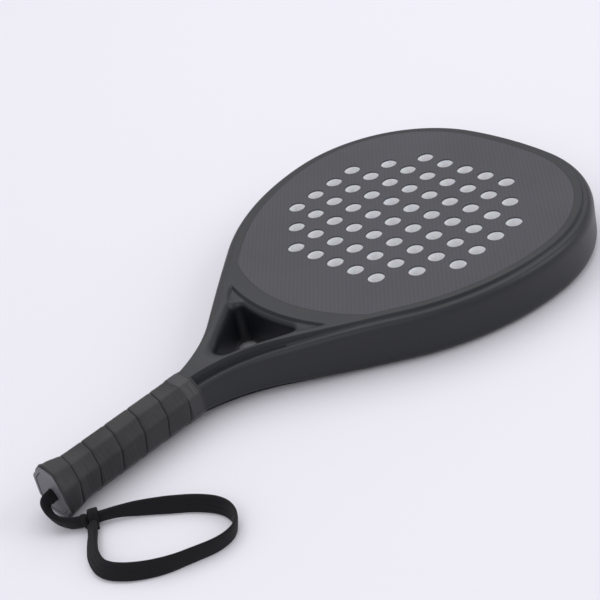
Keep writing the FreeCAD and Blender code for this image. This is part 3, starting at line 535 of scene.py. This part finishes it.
# The flat band beside the face, from the step to the face's edge and down inside it
head_line, head_in = head_run
band_inset = np.array((STRIP_EDGE, 11.0, 12.7, FACE_EDGE))
band_plan = head_line[:, None] + head_in[:, None] * band_inset[None, :, None]
inner_z = np.concatenate((np.full(4, MID_Z), np.linspace(MID_Z, -MID_Z, 12)[1:-1],
                          np.full(4, -MID_Z)))
band_columns = np.r_[0:4, np.full(10, 3), 3:-1:-1]
band_z = np.broadcast_to((MID_Z + inner_z)[None, :, None], (len(head_line), len(inner_z), 1))
band_half = np.concatenate((band_plan[:, band_columns], band_z), -1)
band = both_halves(band_half)

# The throat's surround: from the throat's edge out to the face's heel and the arms' bands
heel_swing = math.asin((corner + FACE_EDGE * arm_in)[0] / FACE_HEEL)
heel = np.linspace(0, heel_swing, 70)
heel_line = np.stack((FACE_HEEL * np.sin(heel), HEEL_Y - FACE_HEEL * np.cos(heel)), 1)
across_band = corner + arm_in * band_inset[::-1][:, None]
arm_band = arm_run[0] + arm_run[1] * STRIP_EDGE
foot_line = np.linspace(arm_band[-1], (0.0, arm_band[-1, 1]), 10)
outer_half = np.concatenate((heel_line[:-1], across_band[:-1], arm_band[:-1], foot_line))
throat_eye = np.array((0.0, -50.0))


def bearing_from_eye(points):
    """Clockwise angle from the tip's direction about the throat's middle."""
    rel = points - throat_eye
    return np.arctan2(rel[:, 0], rel[:, 1])


edge_bearing = bearing_from_eye(throat_half)
outer_bearing = bearing_from_eye(outer_half)
edge_bearing[0] = outer_bearing[0] = 0.0
edge_bearing[-1] = outer_bearing[-1] = math.pi
inner_half = np.stack([np.interp(outer_bearing, edge_bearing, throat_half[:, k])
                       for k in (0, 1)], 1)
spread = np.linspace(0, 1, 44) ** 1.3
ring_plan = inner_half[:, None] + (outer_half - inner_half)[:, None] * spread[None, :, None]
ring_top = half_depth(ring_plan[..., 1]) - throat_fall(ring_plan)
wall_share = np.linspace(1, -1, 15)[1:-1]
ring_wall = np.repeat(ring_plan[:, :1], len(wall_share), 1)
ring_plan = np.concatenate((ring_plan[:, ::-1], ring_wall, ring_plan), 1)
ring_z = np.concatenate((ring_top[:, ::-1], ring_top[:, :1] * wall_share, -ring_top), 1)
ring_half = np.concatenate((ring_plan, (MID_Z + ring_z)[..., None]), -1)
surround = both_halves(ring_half)
# The heel's inner wall, behind the face's edge
heel_wall = both_halves(np.concatenate(
    (np.repeat(heel_line[:, None], 12, 1),
     np.broadcast_to(np.linspace(2 * MID_Z, 0, 12)[None, :, None], (len(heel_line), 12, 1))), -1))

# The shank inside the grip: an eight-sided tube from under the tape to the butt
SHANK_HIGH, SHANK_CHAMFER, SHANK_END = 13.1, 7.0, -223.5
shank_corners = (np.array((SHANK_HALF, SHANK_HIGH))
                 - np.array(((SHANK_CHAMFER, 0), (0, SHANK_CHAMFER))))
shank_corners = np.concatenate((shank_corners, shank_corners[::-1] * (1, -1)))
shank_corners = np.concatenate((shank_corners, -shank_corners))
shank_y = np.linspace(FRAME_END + 2, SHANK_END, 12)
shank = np.stack([np.broadcast_to(a, (12, 8)) for a in (
    shank_corners[None, :, 0], shank_y[:, None], MID_Z + shank_corners[None, :, 1])], -1)


def paint_material(name, code, roughness, grain):
    """Sprayed satin lacquer over moulded carbon: a soft, even gloss with a trace of orange
    peel, and slow drifts of roughness where it was rubbed down."""
    material, tree, shader = new_material(name, {"IOR": 1.5, "Specular IOR Level": 0.42,
                                                 "Base Color": linear_colour(code)})
    place = add_node(tree, "ShaderNodeTexCoord")
    drift = add_node(tree, "ShaderNodeTexNoise", {"Scale": 0.022 / MM, "Detail": 3.0},
                     {0: place.outputs["Object"]})
    sheen = add_node(tree, "ShaderNodeMapRange", {
        "From Min": 0.3, "From Max": 0.7,
        "To Min": roughness - 0.04, "To Max": roughness + 0.05}, {0: drift.outputs[0]})
    peel = add_node(tree, "ShaderNodeTexNoise", {"Scale": 1 / (grain * MM), "Detail": 2.0},
                    {0: place.outputs["Object"]})
    bump = add_node(tree, "ShaderNodeBump", {"Strength": 0.12, "Distance": 0.05 * MM},
                    {"Height": peel.outputs[0]})
    tree.links.new(sheen.outputs[0], shader.inputs["Roughness"])
    tree.links.new(bump.outputs[0], shader.inputs["Normal"])
    return material


satin = paint_material("satin_black_lacquer", SATIN_BLACK, 0.42, 0.9)
moulded = new_piece("moulded_frame", [
    skin(strip), skin(band), skin(surround), skin(heel_wall), skin(shank, ring=True, ends=True)],
    satin, crease=38, weld=True)
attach(moulded, "root")
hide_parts("frame_tube", "throat_bridge")

# ---- Faces ---------------------------------------------------------------------------
# Two thin plates of woven carbon fibre, moulded onto the core and drilled with it. The
# weave shows through a thin dark grey matt coat as rows of slanting ridges.
# Width of one tow, in millimetres
TOW = 1.0
# The face's tone runs from the darker colour to the lighter: it is darker in the grooves between
# the tows, as painted shade, and also at random
FACE_LIGHT, FACE_DARK = "#47474D", "#303036"


def weave_material(name):
    """Two by two twill under matt paint. Across and along are counted in tows; where their
    sum, in fours, is under two a crosswise tow lies on top, and each is rounded."""
    material, tree, shader = new_material(name, {"Roughness": 0.62, "IOR": 1.5,
                                                 "Specular IOR Level": 0.4})
    place = add_node(tree, "ShaderNodeTexCoord")
    tows = add_node(tree, "ShaderNodeMapping", {"Scale": (1 / (TOW * MM),) * 3},
                    {0: place.outputs["Object"]})
    split = add_node(tree, "ShaderNodeSeparateXYZ", links={0: tows.outputs[0]})
    whole, part = ([add_node(tree, "ShaderNodeMath", {"operation": act}, {0: split.outputs[k]})
                    for k in (0, 1)] for act in ("FLOOR", "FRACT"))
    lag = add_node(tree, "ShaderNodeMath", {"operation": "ADD"},
                   {0: whole[0].outputs[0], 1: whole[1].outputs[0]})
    four = add_node(tree, "ShaderNodeMath", {"operation": "FLOORED_MODULO", 1: 4.0},
                    {0: lag.outputs[0]})
    on_top = add_node(tree, "ShaderNodeMath", {"operation": "LESS_THAN", 1: 1.5},
                      {0: four.outputs[0]})
    arch = []
    for across_tow in part:
        half_turn = add_node(tree, "ShaderNodeMath", {"operation": "MULTIPLY", 1: math.pi},
                             {0: across_tow.outputs[0]})
        arch.append(add_node(tree, "ShaderNodeMath", {"operation": "SINE"},
                             {0: half_turn.outputs[0]}))
    height = add_node(tree, "ShaderNodeMix", {"data_type": "FLOAT"},
                      {0: on_top.outputs[0], 2: arch[0].outputs[0], 3: arch[1].outputs[0]})
    grit = add_node(tree, "ShaderNodeTexNoise", {"Scale": 1.1 / MM, "Detail": 5.0},
                    {0: place.outputs["Object"]})
    cloud = add_node(tree, "ShaderNodeTexNoise", {"Scale": 0.014 / MM, "Detail": 2.0},
                     {0: place.outputs["Object"]})
    level_now = add_node(tree, "ShaderNodeMath", {"operation": "MULTIPLY_ADD", 1: 1.5},
                         {0: grit.outputs[0], 2: height.outputs[0]})
    tint = add_node(tree, "ShaderNodeMath", {"operation": "MULTIPLY_ADD", 1: 0.9},
                    {0: cloud.outputs[0], 2: level_now.outputs[0]})
    tint = add_node(tree, "ShaderNodeMath", {"operation": "MULTIPLY_ADD", 1: 0.35},
                    {0: on_top.outputs[0], 2: tint.outputs[0]})
    # Painted shade: the tone follows the tows' height, darkest in the grooves between them; grit
    # and cloud vary it at random, and the crosswise tows on top are lighter
    spread_now = add_node(tree, "ShaderNodeMapRange", {"From Min": 0.9, "From Max": 2.6},
                          {0: tint.outputs[0]})
    tone = add_node(tree, "ShaderNodeValToRGB", links={0: spread_now.outputs[0]})
    tone.color_ramp.elements[0].color = linear_colour(FACE_DARK)
    tone.color_ramp.elements[1].color = linear_colour(FACE_LIGHT)
    bump = add_node(tree, "ShaderNodeBump", {"Strength": 0.35, "Distance": 0.08 * MM},
                    {"Height": level_now.outputs[0]})
    tree.links.new(tone.outputs[0], shader.inputs["Base Color"])
    tree.links.new(bump.outputs[0], shader.inputs["Normal"])
    return material


def dress(node, material):
    """Give a CAD node its material."""
    body = frame["nodes"][node]
    body.data.materials.clear()
    body.data.materials.append(material)


weave = weave_material("matt_painted_carbon_twill")
for node in ("front_face", "rear_face"):
    dress(node, weave)

# ---- Core and filler foam ------------------------------------------------------------
# A slab of white closed-cell EVA rubber fills the head, and its cut cells show in the walls
# of the drilled holes. Coarser foam fills the tube and the bridge, out of sight.
# The second colour of each foam is painted shade, in the pits of its cells
CORE_WHITE, CORE_SHADE = "#F8F8FA", "#ECEDF0"
FILLER_CREAM, FILLER_SHADE = "#D9CFB4", "#BFB394"


def foam_material(name, light, dark, cell_mm, roughness):
    """Cut closed-cell foam: each cell a shallow pit, darkened inside with painted shade."""
    material, tree, shader = new_material(name, {
        "Roughness": roughness, "IOR": 1.48, "Specular IOR Level": 0.3,
        "Subsurface Weight": 0.12, "Subsurface Scale": 2 * MM})
    place = add_node(tree, "ShaderNodeTexCoord")
    cells = add_node(tree, "ShaderNodeTexVoronoi", {"Scale": 1 / (cell_mm * MM)},
                     {0: place.outputs["Object"]})
    cloud = add_node(tree, "ShaderNodeTexNoise", {"Scale": 0.12 / MM, "Detail": 3.0},
                     {0: place.outputs["Object"]})
    level_now = add_node(tree, "ShaderNodeMath", {"operation": "MULTIPLY_ADD", 1: 0.6},
                         {0: cloud.outputs[0], 2: cells.outputs["Distance"]})
    # Painted shade: the tone is darkest in the cells' pits, with a random cloud on top
    tone = add_node(tree, "ShaderNodeValToRGB", links={0: level_now.outputs[0]})
    tone.color_ramp.elements[0].color = linear_colour(dark)
    tone.color_ramp.elements[1].color = linear_colour(light)
    bump = add_node(tree, "ShaderNodeBump", {"Strength": 0.4, "Distance": 0.15 * MM},
                    {"Height": cells.outputs["Distance"]})
    tree.links.new(tone.outputs[0], shader.inputs["Base Color"])
    tree.links.new(bump.outputs[0], shader.inputs["Normal"])
    return material


dress("core", foam_material("white_eva_foam", CORE_WHITE, CORE_SHADE, 0.5, 0.75))
filler = foam_material("cream_filler_foam", FILLER_CREAM, FILLER_SHADE, 1.2, 0.85)
for node in ("frame_foam", "bridge_foam"):
    dress(node, filler)

# ---- Cushion grip --------------------------------------------------------------------
# A soft polyurethane strip, 20 mm wide, wound down the eight-sided handle edge to edge. It
# is thinned at its edges, so each turn ends in a shallow valley, darkened along its bottom with
# painted shade.
GRIP_LOW, GRIP_HIGH = -225.9, -110.0
GRIP_HALF = np.array((15.0, 15.5))
GRIP_CHAMFER, GRIP_CORNER = 8.3, 3.8
FLARE, FLARE_START = 2.7, -206.5
SEAMS = (-98.4, -117.6, -136.8, -156.0, -175.4, -194.4, -211.0, -228.0)
# One turn's pitch, the rounding at the butt's end, and how far the strip's start stands out
TURN, END_ROUND, START_ROLL = 19.2, 1.2, 2.8
GRIP_BLACK, GRIP_WORN = "#222224", "#2D2B2C"
# Points that a section's outline is smoothed on before it is thinned
FINE = 2000


def eight_sided(half, chamfer, corner, count):
    """Points evenly spaced round an eight-sided section with rounded corners, clockwise
    from the top's middle as seen from the butt, and the way out at each."""
    w, h = half
    ring = np.array(((0, h), (w - chamfer, h), (w, h - chamfer), (w, chamfer - h),
                     (w - chamfer, -h)))
    ring = np.concatenate((ring, -ring))
    lengths = np.linalg.norm(np.diff(np.r_[ring, ring[:1]], axis=0), axis=1)
    at = np.r_[0, np.cumsum(lengths)]
    fine = np.linspace(0, at[-1], FINE, endpoint=False)
    path = np.stack([np.interp(fine, at, np.r_[ring[:, k], ring[0, k]]) for k in (0, 1)], 1)
    width = int(corner / (at[-1] / FINE))
    window = np.hanning(2 * width + 1)
    window /= window.sum()
    smooth = np.stack([np.convolve(np.r_[path[-width:, k], path[:, k], path[:width, k]],
                                   window, "valid") for k in (0, 1)], 1)
    pick = np.round(np.arange(count) / count * FINE).astype(int)
    way = unit(np.roll(smooth, -3, 0) - np.roll(smooth, 3, 0))
    return smooth[pick], np.stack((-way[:, 1], way[:, 0]), 1)[pick]


def noise_waves(u, v, seed, count=9, scale=1.0):
    """A smooth random relief from nought mean: a sum of slanting waves."""
    draw = np.random.default_rng(seed)
    angle = draw.uniform(0, math.tau, count)
    size = draw.uniform(0.5, 1.5, count)
    phase = draw.uniform(0, math.tau, count)
    waves = [np.sin((u * math.cos(a) + v * math.sin(a)) * s * scale + p)
             for a, s, p in zip(angle, size, phase)]
    return sum(waves) / count


GRIP_ROUND, GRIP_ROWS = 132, 620
section, section_out = eight_sided(GRIP_HALF, GRIP_CHAMFER, GRIP_CORNER, GRIP_ROUND)
grip_y = np.linspace(GRIP_LOW, GRIP_HIGH, GRIP_ROWS)[:, None]
lap = np.arange(GRIP_ROUND)[None, :] / GRIP_ROUND
seam_number = np.interp(-grip_y, -np.array(SEAMS), np.arange(len(SEAMS))) - lap
strip_share = seam_number % 1.0
edge_gap = np.minimum(strip_share, 1 - strip_share) * TURN
valley = np.exp(-(edge_gap / 1.25) ** 2) * 0.32 + np.exp(-(edge_gap / 0.32) ** 2) * 0.42
lap_lip = 0.22 * np.where(strip_share > 0.5, (strip_share - 0.5) * 2, 0) ** 3
creases = (0.05 * noise_waves(lap * 60, grip_y, 4, 12, 1.1)
           + 0.06 * noise_waves(lap * 14, grip_y * 2.4, 7, 8))
flare = FLARE * smooth_step((FLARE_START - grip_y) / 16)
stretch = 0.35 + 0.65 * smooth_step((-180 - grip_y) / 30)
pucker = (0.13 * stretch * np.sin(edge_gap * 3.4 + 0.8 * np.sin(lap * 40))
          * np.exp(-edge_gap / 3.4) * (0.5 + 0.5 * np.sin(lap * math.tau * 4 + 1.2) ** 2))
lip = 0.7 * np.exp(-((grip_y + 224.4) / 1.6) ** 2)
out_by = -valley + lap_lip + creases + pucker + lip + flare - 0.15
near_end = np.clip(1 - (grip_y - GRIP_LOW) / END_ROUND, 0, 1)
out_by = out_by - END_ROUND * (1 - np.sqrt(np.clip(1 - near_end ** 2, 0, 1)))
grip_plan = section[None] + section_out[None] * out_by[..., None]
# The strip starts thick on the right, where it stands out past the cap's rim
start_roll = START_ROLL * np.exp(-((lap - 0.2) / 0.13) ** 2) * smooth_step((-221 - grip_y) / 4)
grip_skin = np.stack((grip_plan[..., 0], grip_y - start_roll, MID_Z + grip_plan[..., 1]), -1)
bore = eight_sided((SHANK_HALF + 0.1, SHANK_HIGH + 0.1), SHANK_CHAMFER, 0.4, GRIP_ROUND)[0]
bore_rows = [np.concatenate((bore[:, :1], np.full((GRIP_ROUND, 1), y), MID_Z + bore[:, 1:]), 1)
             for y in (GRIP_LOW, GRIP_HIGH)]
grip_skin = np.concatenate((bore_rows[:1], grip_skin, bore_rows[1:]))


def grip_material():
    """Soft polyurethane skin: a fine leather grain, matt, with random patches that are a little
    browner and smoother, and painted shade darkening the seams."""
    material, tree, shader = new_material("black_polyurethane_grip", {
        "IOR": 1.5, "Specular IOR Level": 0.3, "Sheen Weight": 0.03, "Sheen Roughness": 0.4})
    place = add_node(tree, "ShaderNodeTexCoord")
    seam_painted_shade = add_node(tree, "ShaderNodeAttribute", {"attribute_name": "seam_painted_shade"})
    grain = add_node(tree, "ShaderNodeTexVoronoi", {"Scale": 1.5 / MM},
                     {0: place.outputs["Object"]})
    fine = add_node(tree, "ShaderNodeTexNoise", {"Scale": 0.7 / MM, "Detail": 6.0},
                    {0: place.outputs["Object"]})
    rub = add_node(tree, "ShaderNodeTexNoise", {"Scale": 0.045 / MM, "Detail": 4.0},
                   {0: place.outputs["Object"]})
    tone = add_node(tree, "ShaderNodeValToRGB", links={0: rub.outputs[0]})
    tone.color_ramp.elements[0].position, tone.color_ramp.elements[1].position = 0.3, 0.72
    tone.color_ramp.elements[0].color = linear_colour(GRIP_BLACK)
    tone.color_ramp.elements[1].color = linear_colour(GRIP_WORN)
    # Painted shade: the colour is darkened along the bottom of each seam's valley
    dark = add_node(tree, "ShaderNodeMix", {
        "data_type": "RGBA", "blend_type": "MULTIPLY", 7: (0.12, 0.12, 0.12, 1)},
        {0: seam_painted_shade.outputs["Fac"], 6: tone.outputs[0]})
    shine = add_node(tree, "ShaderNodeMapRange", {
        "From Min": 0.3, "From Max": 0.7, "To Min": 0.52, "To Max": 0.44}, {0: rub.outputs[0]})
    relief = add_node(tree, "ShaderNodeMath", {"operation": "ADD"},
                      {0: grain.outputs["Distance"], 1: fine.outputs[0]})
    bump = add_node(tree, "ShaderNodeBump", {"Strength": 0.3, "Distance": 0.12 * MM},
                    {"Height": relief.outputs[0]})
    tree.links.new(dark.outputs[2], shader.inputs["Base Color"])
    tree.links.new(shine.outputs[0], shader.inputs["Roughness"])
    tree.links.new(bump.outputs[0], shader.inputs["Normal"])
    return material


def store(piece, name, values):
    """Keep one number for each point of a piece, for its material to read."""
    kept = piece.data.attributes.new(name, "FLOAT", "POINT")
    kept.data.foreach_set("value", values.astype(np.float32).ravel())


pu = grip_material()
grip = new_piece("wound_grip", [skin(grip_skin, ring=True, loop=True)], pu)
# How much painted shade darkens the colour along each seam's valley
seam_shade_amount = np.exp(-(edge_gap / 0.42) ** 2) * 0.95
store(grip, "seam_painted_shade", np.pad(seam_shade_amount, ((1, 1), (0, 0))))
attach(grip, "root")
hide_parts("cushion_grip")

# ---- Finishing tape ------------------------------------------------------------------
# A turn and a half of elastic black tape over the grip's upper end. It is stretched on, so
# it crumples over the slanting sides, and its top edge lies down on the frame.
TAPE_LOW, TAPE_HIGH = -122.0, -110.0
TAPE_ROUND, TAPE_ROWS = 240, 56
TAPE_BLACK = "#2B2B2D"
tape_section, tape_out = eight_sided(GRIP_HALF + 0.3, GRIP_CHAMFER + 0.15, GRIP_CORNER, TAPE_ROUND)
tape_share = np.linspace(0, 1, TAPE_ROWS)[:, None]
tape_lap = np.arange(TAPE_ROUND)[None, :] / TAPE_ROUND
tape_y = np.repeat(TAPE_LOW + (TAPE_HIGH - TAPE_LOW) * tape_share, TAPE_ROUND, 1)
on_slant = np.abs(np.abs(tape_out[:, 0]) - np.abs(tape_out[:, 1]))[None, :] < 0.5
crumple = (np.where(on_slant, 1.0, 0.25) * 0.16
           * noise_waves(tape_lap * 26, tape_y * 3.1, 11, 10))
edge_fall = 0.35 * np.clip(1 - np.minimum(tape_share, 1 - tape_share) * 14, 0, 1) ** 2
tape_by = crumple - edge_fall - 0.1 - 0.9 * smooth_step((tape_share - 0.72) / 0.28)
tape_plan = tape_section[None] + tape_out[None] * tape_by[..., None]
tape_skin = np.stack((tape_plan[..., 0], tape_y, MID_Z + tape_plan[..., 1]), -1)
inner = tape_section - tape_out * 0.8
inner_rows = [np.concatenate((inner[:, :1], np.full((TAPE_ROUND, 1), y), MID_Z + inner[:, 1:]), 1)
              for y in (TAPE_LOW, TAPE_HIGH)]
tape_skin = np.concatenate((inner_rows[:1], tape_skin, inner_rows[1:]))
tape_material, tape_tree, tape_shader = new_material("black_elastic_vinyl_tape", {
    "Base Color": linear_colour(TAPE_BLACK), "IOR": 1.5, "Specular IOR Level": 0.45})
tape_place = add_node(tape_tree, "ShaderNodeTexCoord")
tape_noise = add_node(tape_tree, "ShaderNodeTexNoise", {"Scale": 0.42 / MM, "Detail": 5.0},
                      {0: tape_place.outputs["Object"]})
tape_gloss = add_node(tape_tree, "ShaderNodeMapRange", {"To Min": 0.36, "To Max": 0.52},
                      {0: tape_noise.outputs[0]})
tape_bump = add_node(tape_tree, "ShaderNodeBump", {"Strength": 0.25, "Distance": 0.1 * MM},
                     {"Height": tape_noise.outputs[0]})
tape_tree.links.new(tape_gloss.outputs[0], tape_shader.inputs["Roughness"])
tape_tree.links.new(tape_bump.outputs[0], tape_shader.inputs["Normal"])
tape = new_piece("wound_finishing_tape", [skin(tape_skin, ring=True, loop=True)], tape_material)
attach(tape, "root")
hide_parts("finishing_tape")

# ---- Butt ----------------------------------------------------------------------------
# A moulded grey nylon cap pushed on the handle's end, and a plate snapped into it with the
# cord's hole in the middle. Both keep the fine spark-eroded grain of their mould.
CAP_GREY, PLATE_GREY = "#66666B", "#626267"
CAP_ROUND, HOLE_RADIUS = 160, 3.7


def moulded_plastic(name, code, roughness):
    """Injection-moulded nylon with a spark-eroded mould's even, fine grain."""
    material, tree, shader = new_material(name, {
        "IOR": 1.53, "Specular IOR Level": 0.45, "Roughness": roughness,
        "Base Color": linear_colour(code)})
    place = add_node(tree, "ShaderNodeTexCoord")
    grain = add_node(tree, "ShaderNodeTexNoise", {"Scale": 1.6 / MM, "Detail": 4.0},
                     {0: place.outputs["Object"]})
    bump = add_node(tree, "ShaderNodeBump", {"Strength": 0.25, "Distance": 0.05 * MM},
                    {"Height": grain.outputs[0]})
    tree.links.new(bump.outputs[0], shader.inputs["Normal"])
    return material


cap_section, cap_out = eight_sided(GRIP_HALF, GRIP_CHAMFER, 1.2, CAP_ROUND)
collar_section = eight_sided((SHANK_HALF, SHANK_HIGH), SHANK_CHAMFER, 0.4, CAP_ROUND)[0]
hole_ring = unit(cap_section) * HOLE_RADIUS
# Outward of the grip's outline, and place along the handle, of the cap's rim and its recess
cap_rings = [(cap_section + cap_out * (FLARE + by), y) for by, y in (
    (-2.6, -225.9), (-1.0, -225.9), (-0.9, -226.8), (-1.2, -227.3), (-1.8, -227.5), (-3.5, -227.5),
    (-3.6, -227.4), (-3.6, -225.1))]
cap_rings += [(hole_ring, -225.1), (hole_ring, -223.5), (collar_section * 1.01, -223.4),
              (collar_section * 1.01, -208.5), (collar_section * 1.06, -208.5)]
cap_skin = np.stack([np.stack((ring[:, 0], np.full(CAP_ROUND, y), MID_Z + ring[:, 1]), -1)
                     for ring, y in cap_rings])
cap = new_piece("moulded_butt_cap", [skin(cap_skin, ring=True, loop=True)],
                moulded_plastic("grey_moulded_nylon_cap", CAP_GREY, 0.5), crease=35)
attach(cap, "root")
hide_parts("butt_cap")
dress("butt_plug", moulded_plastic("grey_moulded_nylon_plate", PLATE_GREY, 0.55))

# ---- Floor and light -----------------------------------------------------------------
# A plain white studio sweep, a large soft lamp above and to the left, a weaker one to the
# right beyond the head, a small one in front on the right, and an even pale surround.
PAPER_WHITE, SURROUND_WHITE = "#E2E1E7", "#FBFAFF"
floor_mesh = bpy.data.meshes.new("floor")
floor_mesh.from_pydata([(-6, -6, 0), (6, -6, 0), (6, 6, 0), (-6, 6, 0)], [], [(0, 1, 2, 3)])
floor = bpy.data.objects.new("floor", floor_mesh)
scene.collection.objects.link(floor)
paper, paper_tree, paper_shader = new_material("white_paper_sweep", {
    "Base Color": linear_colour(PAPER_WHITE), "Roughness": 0.9, "Specular IOR Level": 0.15})
floor_mesh.materials.append(paper)

LIGHTS = (
    # name, place, looked at, size, watts
    ("overhead", (-0.7, 0.6, 1.9), (0.0, 0.0, 0.0), 2.2, 20.5),
    ("head_side", (1.4, 1.3, 1.3), (0.0, 0.05, 0.0), 1.3, 11.0),
    ("front", (0.9, -1.3, 1.3), (0.0, 0.0, 0.0), 1.0, 6.0),
)
for name, place, aim, size, watts in LIGHTS:
    lamp = bpy.data.lights.new(name, "AREA")
    lamp.size = size
    lamp.energy = watts
    holder = bpy.data.objects.new(name, lamp)
    holder.location = place
    holder.rotation_euler = (Vector(aim) - Vector(place)).to_track_quat("-Z", "Y").to_euler()
    scene.collection.objects.link(holder)
world = bpy.data.worlds.new("studio")
scene.world = world
world.use_nodes = True
world.node_tree.nodes["Background"].inputs[0].default_value = linear_colour(SURROUND_WHITE)
world.node_tree.nodes["Background"].inputs[1].default_value = 0.665
